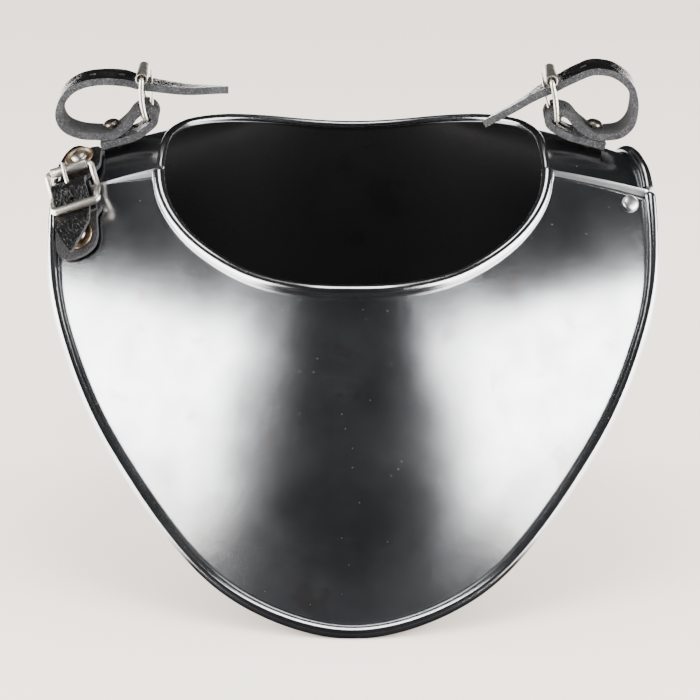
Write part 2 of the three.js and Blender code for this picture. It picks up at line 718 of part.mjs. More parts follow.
function shoulderStrap(side, name) {
  const place = shoulderStrapPlace;
  const seatFrame = mantleFrame(side * place.turn, place.reach);
  const lift = sheetThickness / 2 - backSheetDepth(place.reach);
  const seat = seatFrame.point.clone().addScaledVector(seatFrame.out, lift);
  backHoles.push(drill(seat, seatFrame.out, drillDiameter, drillDepth));

  const holder = new THREE.Group();
  holder.position.copy(seat);
  holder.position.z += strapSeat;
  if (side < 0) holder.rotation.z = Math.PI;
  group.add(holder);

  const out = seatFrame.out.clone();
  if (side < 0) out.applyAxisAngle(new THREE.Vector3(0, 0, 1), Math.PI);
  const placeRow = routeRow(-out.x / out.z);
  const barPlace = placeRow(foldBar);
  const bar = new THREE.Vector3(barPlace.x, 0, barPlace.z);
  const foldRadius = wireThickness / 2 + foldRoom + strapThickness / 2;
  const route = foldRows.map(placeRow);
  for (const degrees of foldTurns) {
    const angle = THREE.MathUtils.degToRad(degrees);
    route.push({
      x: bar.x + foldRadius * Math.cos(angle),
      z: bar.z + foldRadius * Math.sin(angle),
      wide: strapWidth,
    });
  }
  route.push(...afterFoldRows.map(placeRow), ...loopRows[name].map(placeRow));
  const tip = route[route.length - 1];
  const beforeTip = route[route.length - 2];
  route.splice(route.length - 1, 0, {
    x: THREE.MathUtils.lerp(beforeTip.x, tip.x, 0.55),
    z: THREE.MathUtils.lerp(beforeTip.z, tip.z, 0.55),
    wide: strapWidth,
  });
  tip.wide = strapWidth * 0.12;

  // The frame stands up from the bar in the fold, leaning a little towards the neck, with the roller on top
  const lean = THREE.MathUtils.degToRad(frameLean[name]);
  const rise = new THREE.Vector3(Math.sin(lean), 0, Math.cos(lean));
  const sideways = new THREE.Vector3(Math.cos(lean), 0, -Math.sin(lean));
  const halfWidth = strapWidth / 2 + frameSideRoom + wireThickness / 2;
  const middle = bar.clone().addScaledVector(rise, shoulderFrameLength / 2);
  const ring = ringOf(shoulderFrameLength / 2, halfWidth, shoulderFrameCorner, 3, (along, across) => {
    const p = middle.clone().addScaledVector(rise, along);
    p.y = across;
    return p;
  });
  add(holder, `shoulder_frame_${name}`, wire(ring, wireThickness, 8, true), nickel);

  const rollerCentre = bar.clone().addScaledVector(rise, shoulderFrameLength);
  const rollerLength = 2 * (halfWidth - shoulderFrameCorner - rollerEndRoom);
  const roller = add(holder, `shoulder_roller_${name}`, rollerTube(shoulderRoller, rollerLength), nickel);
  roller.position.copy(rollerCentre);

  // The prong comes up through the strap and rests on the roller's neck side
  const prong = prongRoute(bar, rollerCentre, sideways.clone().negate(), shoulderRoller);
  add(holder, `shoulder_prong_${name}`, wire(prong.points, prongThickness, 6), nickel);

  // Holes in the strap: for the rivet, for the prong where it comes through, and a slot for its eye at the fold
  const slot = new THREE.BoxGeometry(3 * foldRadius, prongThickness + 2 * clearance + prongSlotRoom, 2.5 * foldRadius);
  slot.translate(bar.x - foldRadius * 0.4, 0, bar.z);
  const rivetHole = drill(new THREE.Vector3(0, 0, 0), out, drillDiameter, drillDepth * 1.4);
  const strap = cut(strip(route, strapThickness, 60), [slot, prongHole(prong), rivetHole]);
  add(holder, `shoulder_strap_${name}`, strap, leather);

  const headHeight = strapSeat + 2 * (strapThickness + clearance) + shoulderRivetLift;
  const headPoint = seat.clone().addScaledVector(seatFrame.out, headHeight);
  addRivet(group, `shoulder_rivet_${name}`, headPoint, seatFrame.out, rivetHead, headHeight + sheetThickness);
}

shoulderStrap(1, "right");
shoulderStrap(-1, "left");

// Side closure, in its own frame over the shoulder seam: x along the strap towards the front, y across, z up
const closureFrame = mantleFrame(sideClosurePlace.turn, sideClosurePlace.reach);
const closureUp = closureFrame.out.clone();
const leanAngle = THREE.MathUtils.degToRad(sideClosureLean);
const closureAcross = new THREE.Vector3(Math.cos(leanAngle), 0, Math.sin(leanAngle));
const closureAlong = closureUp.clone().cross(closureAcross).normalize().negate();
const closureOut = closureAlong.clone().cross(closureAcross).normalize();
closureOut.multiplyScalar(Math.sign(closureOut.dot(closureUp)));
const closureBasis = new THREE.Matrix4().makeBasis(
  closureAlong,
  closureOut.clone().cross(closureAlong),
  closureOut,
);
const closure = new THREE.Group();
closure.position
  .copy(closureFrame.point)
  .addScaledVector(closureFrame.out, sheetThickness / 2 - frontSheetDepth(sideClosurePlace.reach));
closure.quaternion.setFromRotationMatrix(closureBasis);
group.add(closure);
closure.updateMatrixWorld(true);

// Heights in the closure count layers of leather from the plate's outside, which falls away to both sides of the
// seam. Place is a share of the strap's reach, and from is the same counted from a rivet. Wide is a share of the
// strip's width, and middle and aside are the shares of it by which the strip lies to the neck's side.
const layer = sideStrapThickness + clearance;
const bar = { x: 0.083 * sideStrapReach, z: 1.52 * layer + wireThickness / 2 };
const sideRollerPlace = { x: bar.x - sideFrameLength * 0.53, z: 1.05 * layer + sideStrapThickness / 2 + sideRoller / 2 };
const keeper = { x: sideRollerPlace.x + sideFrameLength, z: 3 * layer + clearance + wireThickness / 2 };

const strapRows = [
  { place: -0.1, layer: 1.8, wide: 1, middle: 0.015 },
  { place: -0.02, layer: 3.32, wide: 1, middle: 0 },
  { place: 0.083, layer: 3.98, wide: 1, middle: 0 },
  { place: 0.19, layer: 3.46, wide: 1, middle: 0 },
  { place: 0.3, layer: 2.75, wide: 1, middle: 0 },
  { place: 0.37, layer: 2.5, wide: 1, middle: 0 },
];
const overRivetRows = [
  { place: 0.52, layer: 0, wide: 1, middle: -0.01 },
  { place: 0.72, layer: 0, wide: 1, middle: -0.03 },
  { place: 1.02, layer: -0.3, wide: 0.07, middle: -0.07 },
];
const chapeRows = [
  { place: 0.4, layer: 0.42, wide: 0.88, middle: 0.1 },
  { place: 0.24, layer: 0.46, wide: 0.76, middle: 0.07 },
];
const chapeBackRows = [
  { place: 0.2, layer: 1.95, wide: 0.78, middle: 0 },
  { place: 0.3, layer: 1.52, wide: 0.78, middle: 0 },
  { place: 0.45, layer: 1.46, wide: 0.78, middle: 0 },
];
const upperEnds = [
  { from: -0.15, wide: 0.62, aside: 0.24 },
  { from: -0.12, wide: 0.78, aside: 0.22 },
  { from: 0, wide: 0.88, aside: 0.16 },
  { from: 0.21, wide: 0.9, aside: 0.06 },
];
const lowerEnds = [
  { from: 0.25, wide: 0.45, aside: 0.1 },
  { from: 0.2, wide: 0.75, aside: 0.1 },
  { from: 0.1, wide: 0.9, aside: 0.1 },
  { from: 0, wide: 0.92, aside: 0.1 },
  { from: -0.22, wide: 0.92, aside: 0.15 },
];
const spareHolePlace = 0.25;
const chapeFoldTurns = [270, 225, 180, 135, 90];

function closureRow(width, base = clearance) {
  return (row) => ({
    x: row.place * sideStrapReach,
    z: base + row.layer * layer,
    wide: row.wide * width,
    middle: row.middle * width,
  });
}

// Where a rivet goes into a plate, seen in the closure's own frame, with the leather lying on the plate round it
const toClosure = closure.matrixWorld.clone().invert();

function platePlace(turn, reach, depthAt) {
  const frame = mantleFrame(turn, reach);
  const surface = frame.point.clone().addScaledVector(frame.out, sheetThickness / 2 - depthAt(reach));
  return { frame, surface, local: surface.clone().applyMatrix4(toClosure) };
}

// The turn and reach of the plate's outside under a point of the closure, found in a few straight steps
function placeUnder(place, depthAt) {
  const goal = { x: place.along * sideStrapReach, y: place.aside * sideStrapWidth };
  const found = { ...sideClosurePlace };
  const step = 0.001;
  const rounds = 8;
  for (let round = 0; round < rounds; round += 1) {
    const here = platePlace(found.turn, found.reach, depthAt).local;
    const byTurn = platePlace(found.turn + step, found.reach, depthAt).local.sub(here).divideScalar(step);
    const byReach = platePlace(found.turn, found.reach + step, depthAt).local.sub(here).divideScalar(step);
    const area = byTurn.x * byReach.y - byTurn.y * byReach.x;
    const gapX = goal.x - here.x;
    const gapY = goal.y - here.y;
    found.turn += (gapX * byReach.y - gapY * byReach.x) / area;
    found.reach += (gapY * byTurn.x - gapX * byTurn.y) / area;
  }
  return found;
}

function seatOn(place, depthAt) {
  const { turn, reach } = placeUnder(place, depthAt);
  const { frame, surface, local } = platePlace(turn, reach, depthAt);
  const out = frame.out.clone().transformDirection(toClosure);
  const slope = -out.x / out.z;
  return { surface, axis: frame.out, local, out, slope };
}

function leatherRound(seat, rows, width, heading) {
  return rows.map((row) => {
    const run = row.from * sideStrapReach;
    const lift = clearance + seatLift + sideStrapThickness / 2;
    return {
      x: seat.local.x + seat.out.x * lift + run,
      z: seat.local.z + seat.out.z * lift + run * seat.slope,
      wide: row.wide * width,
      middle: seat.local.y + seat.out.y * lift + row.aside * width,
      tilt: -heading * Math.asin(seat.out.y),
    };
  });
}

const upperSeat = seatOn(upperRivetPlace, backSheetDepth);
const lowerSeat = seatOn(lowerRivetPlace, frontSheetDepth);

// Heights over the plate at the closure's rivets: the leather's top, the head's seat and the dome's top
const leatherTop = clearance + seatLift + sideStrapThickness;
const headSeat = leatherTop + clearance + washerThickness;
const domeTop = headSeat + clearance + rivetRim + rivetHeadHeight;

// The strap runs from the back plate under the roller, over the middle bar and under the keeper bar, and its
// point lies over the lower rivet
const strapRoute = leatherRound(upperSeat, upperEnds, sideStrapWidth, 1);
strapRoute.push(...strapRows.map(closureRow(sideStrapWidth)));
const overRivet = lowerSeat.local.z + lowerSeat.out.z * domeTop + clearance + sideStrapThickness / 2;
strapRoute.push(...overRivetRows.map(closureRow(sideStrapWidth, overRivet)));

// The tab is folded round the middle bar, and held at its far end by the lower rivet
const foldRadius = wireThickness / 2 + clearance + sideStrapThickness / 2;
const chapeRoute = leatherRound(lowerSeat, lowerEnds, chapeTabWidth, -1);
chapeRoute.push(...chapeRows.map(closureRow(chapeTabWidth)));
for (const degrees of chapeFoldTurns) {
  const angle = THREE.MathUtils.degToRad(degrees);
  chapeRoute.push({
    x: bar.x + foldRadius * Math.cos(angle),
    z: bar.z + foldRadius * Math.sin(angle),
    wide: chapeWidth,
    middle: 0.03 * chapeWidth,
  });
}
chapeRoute.push(...chapeBackRows.map(closureRow(chapeTabWidth)));

// The frame is a ring of wire that dips to its middle bar and arches over the strap at the keeper end
const frameHalfWidth = sideStrapWidth / 2 + frameSideRoom + wireThickness / 2;
const frameMiddle = (sideRollerPlace.x + keeper.x) / 2;

function frameHeight(x) {
  const end = x < bar.x ? sideRollerPlace : keeper;
  const flat = x < bar.x ? 0 : keeperFlat;
  const share = Math.min(Math.abs(x - bar.x) / (Math.abs(end.x - bar.x) - flat), 1);
  return THREE.MathUtils.lerp(bar.z, end.z, share * share * (3 - 2 * share));
}

const sidePlaces = [-0.2, -0.1, 0, 0.1, 0.2].map((share) => share * sideFrameLength);
function onFrame(along, across) {
  const x = frameMiddle + along;
  return new THREE.Vector3(x, across, frameHeight(x));
}
const sideRing = ringOf(sideFrameLength / 2, frameHalfWidth, sideFrameCorner, 3, onFrame, sidePlaces);
const barWire = [-1, 1].map((side) => new THREE.Vector3(bar.x, side * frameHalfWidth, bar.z));
const sideFrame = join([wire(sideRing, wireThickness, 8, true), wire(barWire, wireThickness, 8)]);
add(closure, "side_frame", sideFrame, nickel);

const sideRollerLength = 2 * (frameHalfWidth - sideFrameCorner - rollerEndRoom);
const rollerMesh = add(closure, "side_roller", rollerTube(sideRoller, sideRollerLength), nickel);
rollerMesh.position.set(sideRollerPlace.x, 0, sideRollerPlace.z);

const barCentre = new THREE.Vector3(bar.x, 0, bar.z);
const rollerCentre = new THREE.Vector3(sideRollerPlace.x, 0, sideRollerPlace.z);
const outwards = new THREE.Vector3(0, 0, 1);
const sideProng = prongRoute(barCentre, rollerCentre, outwards, sideRoller);
add(closure, "side_prong", wire(sideProng.points, prongThickness, 6), nickel);

const strapSlot = prongHole(sideProng);
const chapeSlot = new THREE.BoxGeometry(2.9 * foldRadius, prongThickness + 2 * clearance + prongSlotRoom, 3 * foldRadius);
chapeSlot.translate(bar.x - foldRadius * 0.2, 0, bar.z);
const upperHole = drill(upperSeat.local, upperSeat.out, drillDiameter, drillDepth);
const lowerHole = drill(lowerSeat.local, lowerSeat.out, drillDiameter, drillDepth);
const spareHole = drill(new THREE.Vector3(spareHolePlace * sideStrapReach, 0, 3 * layer), outwards, punchedHole, layer);
const sideStrap = cut(strip(strapRoute, sideStrapThickness, 40), [strapSlot, upperHole, spareHole]);
add(closure, "side_strap", sideStrap, leather);
const sideChape = cut(strip(chapeRoute, sideStrapThickness, 36), [chapeSlot, lowerHole]);
add(closure, "side_chape", sideChape, leather);

function rivetWithWasher(seat, name, holes) {
  holes.push(drill(seat.surface, seat.axis, drillDiameter, drillDepth));
  const ring = add(group, `side_washer_${name}`, washer(), bronze);
  ring.position.copy(seat.surface).addScaledVector(seat.axis, leatherTop + clearance);
  ring.quaternion.copy(turnTo(seat.axis));
  const head = seat.surface.clone().addScaledVector(seat.axis, headSeat);
  addRivet(group, `side_rivet_${name}`, head, seat.axis, rivetHead, headSeat + sheetThickness);
}

rivetWithWasher(upperSeat, "upper", backHoles);
rivetWithWasher(lowerSeat, "lower", frontHoles);

add(group, "front_plate", frontPlate(frontHoles), steel);
add(group, "back_plate", backPlate(backHoles), steel);

// Stands the finished gorget on its lowest edges, over the middle of its own length and width
group.updateMatrixWorld(true);
const box = new THREE.Box3().setFromObject(group, true);
const middlePoint = box.getCenter(new THREE.Vector3());
const gorget = new THREE.Group();
group.position.set(-middlePoint.x, -middlePoint.y, -box.min.z);
gorget.add(group);

export default gorget;
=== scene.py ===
# %% [markdown]
# A steel mantle gorget: two plates with rolled edges, a strap and buckle at one shoulder, a pivot rivet at
# the other, and a buckled leather loop on top of each shoulder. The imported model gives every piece's place
# and size. Here each piece is made again with the smooth surfaces, edges and finishes of the real one.

# %% Frame
import math

import bpy
import numpy as np
from mathutils import Matrix, Vector, noise


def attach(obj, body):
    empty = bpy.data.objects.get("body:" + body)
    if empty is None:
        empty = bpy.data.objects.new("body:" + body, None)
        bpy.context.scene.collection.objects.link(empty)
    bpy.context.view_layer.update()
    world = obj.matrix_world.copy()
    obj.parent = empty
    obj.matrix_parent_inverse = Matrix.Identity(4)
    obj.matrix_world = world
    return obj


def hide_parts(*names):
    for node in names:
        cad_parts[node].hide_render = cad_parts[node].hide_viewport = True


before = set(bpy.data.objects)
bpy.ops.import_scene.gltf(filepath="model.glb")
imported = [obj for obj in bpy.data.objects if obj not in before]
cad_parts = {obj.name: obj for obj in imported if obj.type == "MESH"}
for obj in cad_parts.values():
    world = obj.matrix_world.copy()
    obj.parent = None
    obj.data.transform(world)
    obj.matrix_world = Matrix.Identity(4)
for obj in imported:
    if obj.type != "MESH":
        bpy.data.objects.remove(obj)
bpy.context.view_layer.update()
MM = 0.001
print("nodes:", len(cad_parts))


def deselect_all():
    if bpy.context.object and bpy.context.object.mode != "OBJECT":
        bpy.ops.object.mode_set(mode="OBJECT")
    bpy.ops.object.select_all(action="DESELECT")


def select_only(piece):
    deselect_all()
    bpy.context.view_layer.objects.active = piece
    piece.select_set(True)


# %% [markdown]
# The photograph looks at the gorget from straight ahead and 20 degrees above, through a long lens. A camera
# far away with a long lens keeps the near apron and the far collar at almost the same scale. The small shifts
# slide the picture without turning the camera.

# %% Camera
# The middle of the neck opening, from which the plates' curves are drawn.
MODEL_PLACE = Vector((0.291, -0.732, 0)) * MM
AIM = MODEL_PLACE + Vector((0, -60, 105.2)) * MM
CAMERA_RISE = math.radians(20)
CAMERA_DISTANCE = 1.7
camera_data = bpy.data.cameras.new("camera")
camera_data.lens = 188
camera_data.sensor_width = 36
camera_data.shift_x = -0.0043
camera_data.shift_y = 0.0429
camera = bpy.data.objects.new("camera", camera_data)
camera.location = AIM + CAMERA_DISTANCE * Vector((0, -math.cos(CAMERA_RISE), math.sin(CAMERA_RISE)))
camera.rotation_euler = (math.pi / 2 - CAMERA_RISE, 0, 0)
bpy.context.scene.collection.objects.link(camera)
bpy.context.scene.camera = camera
print("camera at", [round(part, 3) for part in camera.location])

# %% [markdown]
# The floor and every finish are made of shader nodes. Small helpers add a node, give its sockets a value or a
# link and hand back the output, so that a finish reads as a list of steps.

# %% Shader node helpers
def add_node(tree, kind, values=None, **settings):
    node = tree.nodes.new(kind)
    for key, value in settings.items():
        setattr(node, key, value)
    for key, value in (values or {}).items():
        if isinstance(value, bpy.types.NodeSocket):
            tree.links.new(value, node.inputs[key])
        else:
            node.inputs[key].default_value = value
    return node


def math_node(tree, operation, first, second=0.0, third=None):
    values = {0: first, 1: second}
    if third is not None:
        values[2] = third
    return add_node(tree, "ShaderNodeMath", values, operation=operation).outputs[0]


def range_node(tree, value, low, high, to_low=0.0, to_high=1.0):
    node = add_node(tree, "ShaderNodeMapRange", {"Value": value, "From Min": low, "From Max": high,
                                                 "To Min": to_low, "To Max": to_high})
    return node.outputs["Result"]


def start_material(name, colour, roughness, metallic=0.0):
    material = bpy.data.materials.new(name)
    material.use_nodes = True
    tree = material.node_tree
    shader = tree.nodes["Principled BSDF"]
    shader.inputs["Base Color"].default_value = (*colour, 1)
    shader.inputs["Roughness"].default_value = roughness
    shader.inputs["Metallic"].default_value = metallic
    place = add_node(tree, "ShaderNodeTexCoord").outputs["Object"]
    return material, tree, shader, place


def mix_colours(tree, share, first, second):
    node = add_node(tree, "ShaderNodeMix", data_type="RGBA")
    for key, value in ((0, share), (6, first), (7, second)):
        if isinstance(value, bpy.types.NodeSocket):
            tree.links.new(value, node.inputs[key])
        else:
            node.inputs[key].default_value = value if key == 0 else (*value, 1)
    return node.outputs[2]


def bump(tree, shader, height, strength, distance):
    node = add_node(tree, "ShaderNodeBump", {"Strength": strength, "Distance": distance, "Height": height})
    tree.links.new(node.outputs["Normal"], shader.inputs["Normal"])


# %% [markdown]
# Polished steel shows what stands round it more than its own colour. The floor is a wide pale sheet. To the
# eye it is pale paper. In the steel's reflections it acts as a photographer's cards do: a wedge of black card
# lies in front, and white card glows at the sides.

# %% Floor
FLOOR_SIZE = 9
FLOOR_COLOUR = (0.98, 0.89, 0.79)
CARD_COLOUR = (0.012, 0.012, 0.014)
CARD_SPREAD = 0.95
CARD_START = 0.02
CARD_BLUR = 0.1
CARD_GLOW = 4


def floor_material():
    material, tree, shader, place = start_material("floor_paper", FLOOR_COLOUR, 0.9)
    shader.inputs["Specular IOR Level"].default_value = 0.1
    glossy = add_node(tree, "ShaderNodeLightPath").outputs["Is Glossy Ray"]
    spot = add_node(tree, "ShaderNodeSeparateXYZ", {0: place})
    aside = math_node(tree, "ABSOLUTE", spot.outputs["X"])
    inside = math_node(tree, "MULTIPLY_ADD", spot.outputs["Y"], CARD_SPREAD, aside)
    dark = range_node(tree, inside, CARD_START + CARD_BLUR, CARD_START)
    black_card = math_node(tree, "MULTIPLY", glossy, dark)
    white_card = math_node(tree, "SUBTRACT", glossy, black_card)
    tree.links.new(mix_colours(tree, black_card, FLOOR_COLOUR, CARD_COLOUR), shader.inputs["Base Color"])
    shader.inputs["Emission Color"].default_value = (1, 1, 1, 1)
    tree.links.new(math_node(tree, "MULTIPLY", white_card, CARD_GLOW), shader.inputs["Emission Strength"])
    return material


deselect_all()
bpy.ops.mesh.primitive_plane_add(size=FLOOR_SIZE, location=(0, 0, 0))
floor = bpy.context.object
floor.name = "floor"
floor.data.materials.append(floor_material())
print("floor:", FLOOR_SIZE, "metres square")

# %% [markdown]
# Two tall soft boxes at the sides give the two bright flanks, and the dark space between them gives the dark
# band down the middle. A small one overhead draws the bright line on the rolled edges.

# %% Lights
LIGHT_DISTANCE = 1.3
LIGHT_AIM = Vector((0, 0, 0.12))


def soft_box(name, azimuth, rise, size, power):
    """A softbox seen from the gorget at an azimuth from straight ahead, positive to the right."""
    turn = math.radians(azimuth)
    lift = math.radians(rise)
    away = Vector((math.sin(turn) * math.cos(lift), -math.cos(turn) * math.cos(lift), math.sin(lift)))
    data = bpy.data.lights.new(name, "AREA")
    data.shape = "RECTANGLE"
    data.size, data.size_y = size
    data.energy = power
    light = bpy.data.objects.new(name, data)
    light.location = LIGHT_AIM + away * LIGHT_DISTANCE
    light.rotation_euler = (-away).to_track_quat("-Z", "Y").to_euler()
    bpy.context.scene.collection.objects.link(light)


soft_box("left_box", -73, 16, (1.5, 0.8), 46)
soft_box("right_box", 70, 16, (1.55, 0.8), 48)
soft_box("top_box", 0, 84, (0.5, 0.7), 8)
print("lights:", len(bpy.data.lights))

# %% [markdown]
# To the steel the room is nearly dark, so that only the boxes and cards show in it. Leather and paper need
# a soft light from everywhere, which only their diffuse rays see, and the camera sees the paper's colour.

# %% Room
DARK_ROOM = ((0.9, 0.93, 1), 0.036)
SOFT_FILL = ((1, 0.985, 0.96), 1.9)
SEEN_ROOM = (FLOOR_COLOUR, 2.3)

world = bpy.data.worlds.new("room")
bpy.context.scene.world = world
world.use_nodes = True
room_tree = world.node_tree
room_tree.nodes.remove(room_tree.nodes["Background"])


def background(colour, strength):
    node = add_node(room_tree, "ShaderNodeBackground", {"Color": (*colour, 1), "Strength": strength})
    return node.outputs["Background"]


rays = add_node(room_tree, "ShaderNodeLightPath")
room = background(*DARK_ROOM)
for ray, light in (("Is Diffuse Ray", SOFT_FILL), ("Is Camera Ray", SEEN_ROOM)):
    mix = add_node(room_tree, "ShaderNodeMixShader", {0: rays.outputs[ray], 1: room, 2: background(*light)})
    room = mix.outputs["Shader"]
room_tree.links.new(room, room_tree.nodes["World Output"].inputs["Surface"])
print("room nodes:", len(room_tree.nodes))

# %% [markdown]
# Several finishes share an effect: hairline scratches from polishing, specks, cloudy patches and a fine
# grain. Each effect is a node group that is built once, with named sockets, and every material gives it its
# own scale.

# %% Node groups
def new_group(name, inputs):
    """An empty group with inputs, given as name, socket type and value, and one output, Mask."""
    group = bpy.data.node_groups.new(name, "ShaderNodeTree")
    for label, kind, value in inputs:
        socket = group.interface.new_socket(label, in_out="INPUT", socket_type=kind)
        if value is not None:
            socket.default_value = value
    group.interface.new_socket("Mask", in_out="OUTPUT", socket_type="NodeSocketFloat")
    start = group.nodes.new("NodeGroupInput")
    end = group.nodes.new("NodeGroupOutput")
    return group, start, end


def place_group(tree, group, vector, **values):
    node = add_node(tree, "ShaderNodeGroup", node_tree=group)
    tree.links.new(vector, node.inputs["Vector"])
    for key, value in values.items():
        node.inputs[key.capitalize()].default_value = value
    return node.outputs["Mask"]


# %% [markdown]
# Polishing leaves hairlines that run in a few directions. Noise that is stretched more than fifty to one has
# long thin ridges, and only the very tops of the ridges are kept. Three turns of it, each broken up by a slow
# noise, look like the crossing marks of a wheel and of use.

# %% Scratches
def build_scratches():
    group, start, end = new_group("hairline_scratches", [("Vector", "NodeSocketVector", None),
                                                         ("Scale", "NodeSocketFloat", 1400.0),
                                                         ("Width", "NodeSocketFloat", 0.05)])
    low = math_node(group, "SUBTRACT", 0.76, start.outputs["Width"])
    total = None
    for turn, stretch, shift in ((12, 0.012, 0.0), (-38, 0.016, 3.1), (71, 0.014, 7.7)):
        mapping = add_node(group, "ShaderNodeMapping", {"Vector": start.outputs["Vector"],
                                                        "Location": (shift, shift, shift),
                                                        "Rotation": (0.3, math.radians(turn), 0.2),
                                                        "Scale": (stretch, 1, 1)})
        ridges = add_node(group, "ShaderNodeTexNoise", {"Vector": mapping.outputs[0], "Detail": 0.0,
                                                        "Scale": start.outputs["Scale"]})
        line = range_node(group, ridges.outputs["Fac"], low, 0.78)
        patches = add_node(group, "ShaderNodeTexNoise", {"Vector": start.outputs["Vector"], "Scale": 40.0,
                                                         "Detail": 1.0})
        kept = range_node(group, patches.outputs["Fac"], 0.3, 0.7)
        broken = math_node(group, "MULTIPLY", line, kept)
        total = broken if total is None else math_node(group, "MAXIMUM", total, broken)
    group.links.new(total, end.inputs["Mask"])
    return group


scratches = build_scratches()

# %% [markdown]
# Specks are tiny pits and grains of dirt. A cell pattern has one point in each cell: near that point lies the
# speck, and a second noise leaves most cells empty. Clouds are the same everywhere: slow noise, stretched to
# the full range, for patches that are a little rougher or browner than the rest.

# %% Specks and clouds
def build_specks():
    group, start, end = new_group("specks", [("Vector", "NodeSocketVector", None),
                                             ("Scale", "NodeSocketFloat", 400.0),
                                             ("Size", "NodeSocketFloat", 0.16),
                                             ("Share", "NodeSocketFloat", 0.4)])
    cells = add_node(group, "ShaderNodeTexVoronoi", {"Vector": start.outputs["Vector"],
                                                     "Scale": start.outputs["Scale"]})
    near = math_node(group, "LESS_THAN", cells.outputs["Distance"], start.outputs["Size"])
    pick = add_node(group, "ShaderNodeSeparateColor", {"Color": cells.outputs["Color"]})
    chosen = math_node(group, "LESS_THAN", pick.outputs[0], start.outputs["Share"])
    group.links.new(math_node(group, "MULTIPLY", near, chosen), end.inputs["Mask"])
    return group


def build_clouds():
    group, start, end = new_group("clouds", [("Vector", "NodeSocketVector", None),
                                             ("Scale", "NodeSocketFloat", 20.0),
                                             ("Detail", "NodeSocketFloat", 5.0)])
    slow = add_node(group, "ShaderNodeTexNoise", {"Vector": start.outputs["Vector"],
                                                  "Scale": start.outputs["Scale"],
                                                  "Detail": start.outputs["Detail"]})
    group.links.new(range_node(group, slow.outputs["Fac"], 0.32, 0.68), end.inputs["Mask"])
    return group


specks = build_specks()
clouds = build_clouds()
print("groups:", [group.name for group in bpy.data.node_groups])

# %% [markdown]
# The plates are mild steel, polished to a soft satin. Their roughness wanders in clouds, hairlines catch the
# light, and a few brown spots show where rust began. The rolled rims are smoother. The turned-up lips are
# duller, and their colour is painted lighter as a painted highlight. The back plate's colour is painted
# darker as painted shade. The inside is near black.

# %% Steel and the near-black inside
def steel_material(name, colour, rough_low, rough_high, stain_share):
    material, tree, shader, place = start_material(name, colour, rough_low, 1.0)
    cloud = place_group(tree, clouds, place, scale=18.0, detail=6.0)
    fine = place_group(tree, clouds, place, scale=2600.0, detail=2.0)
    line = place_group(tree, scratches, place, scale=1500.0, width=-0.01)
    speck = place_group(tree, specks, place, scale=620.0, size=0.12, share=0.03)
    stain = place_group(tree, clouds, place, scale=75.0, detail=5.0)
    stain = range_node(tree, stain, 0.9, 1.0, 0.0, stain_share)
    dull = tuple(0.72 * part for part in colour)
    mottled = mix_colours(tree, place_group(tree, clouds, place, scale=55.0, detail=7.0), colour, dull)
    brown = mix_colours(tree, stain, mottled, (0.40, 0.29, 0.22))
    deep = tuple(0.5 * part for part in colour)
    grainy = mix_colours(tree, math_node(tree, "MULTIPLY", fine, 0.4), brown, deep)
    scored = mix_colours(tree, math_node(tree, "MULTIPLY", line, 0.08), grainy, (0.85, 0.86, 0.88))
    tree.links.new(mix_colours(tree, math_node(tree, "MULTIPLY", speck, 0.5), scored, (0.95, 0.93, 0.9)),
                   shader.inputs["Base Color"])
    rough = range_node(tree, cloud, 0.0, 1.0, rough_low, rough_high)
    rough = math_node(tree, "MULTIPLY_ADD", fine, 0.025, rough)
    rough = math_node(tree, "MULTIPLY_ADD", line, 0.03, rough)
    rough = math_node(tree, "MULTIPLY_ADD", speck, 0.2, rough)
    tree.links.new(rough, shader.inputs["Roughness"])
    bump(tree, shader, math_node(tree, "MULTIPLY_ADD", line, -0.15, fine), 0.08, 0.0001)
    return material


plate_steel = steel_material("plate_steel", (0.66, 0.67, 0.69), 0.16, 0.21, 0.3)
rim_steel = steel_material("rim_steel", (0.66, 0.66, 0.67), 0.12, 0.17, 0.2)
# A lighter copy of the plate steel: its lighter colour is a painted highlight on the lips and the pivot
# rivet.
bright_steel_painted_highlight = steel_material("bright_steel_painted_highlight", (0.86, 0.86, 0.86), 0.28, 0.34, 0.1)
# A darker copy of the plate steel: its darker colour is painted shade on the back plate.
back_steel_painted_shade = steel_material("back_steel_painted_shade", (0.4, 0.41, 0.43), 0.15, 0.2, 0.3)

black_inside, tree, shader, place = start_material("black_inside", (0.0025, 0.0025, 0.003), 0.3)
shader.inputs["Specular IOR Level"].default_value = 0.02
cloud = place_group(tree, clouds, place, scale=40.0, detail=4.0)
tree.links.new(range_node(tree, cloud, 0.0, 1.0, 0.24, 0.36), shader.inputs["Roughness"])
print("steels:", [steel.name for steel in (plate_steel, rim_steel, bright_steel_painted_highlight, back_steel_painted_shade)])

# %% [markdown]
# The plates follow a table of ribs. A turn of 0 is the middle of the front, 1 the shoulder seam and 2 the
# middle of the back, with a rib at each eighth. Every number is a share of a size that is named here. A
# smooth closed curve runs through each column, and numpy works out thousands of its points at once.

# %% The mantle's surface
SHEET = 1.2 * MM
NECK_HALF_WIDTH = 93 * MM
NECK_FRONT_REACH = 70 * MM
NECK_BACK_REACH = 62 * MM
NECK_FRONT_HEIGHT = 152 * MM
COLLAR_RISE = 51 * MM
MANTLE_HALF_WIDTH = 141 * MM
MANTLE_FRONT_REACH = 117 * MM
MANTLE_BACK_REACH = 120 * MM
SHOULDER_HEIGHT = 188.5 * MM
PLATE_BULGE = 16 * MM
FRONT_NECK_ROLL = 6.4 * MM
BACK_NECK_ROLL = 4.2 * MM
OUTER_ROLL = 5.8 * MM
FOOT_HEIGHT = 1.9 * MM
CLEARANCE = 0.3 * MM

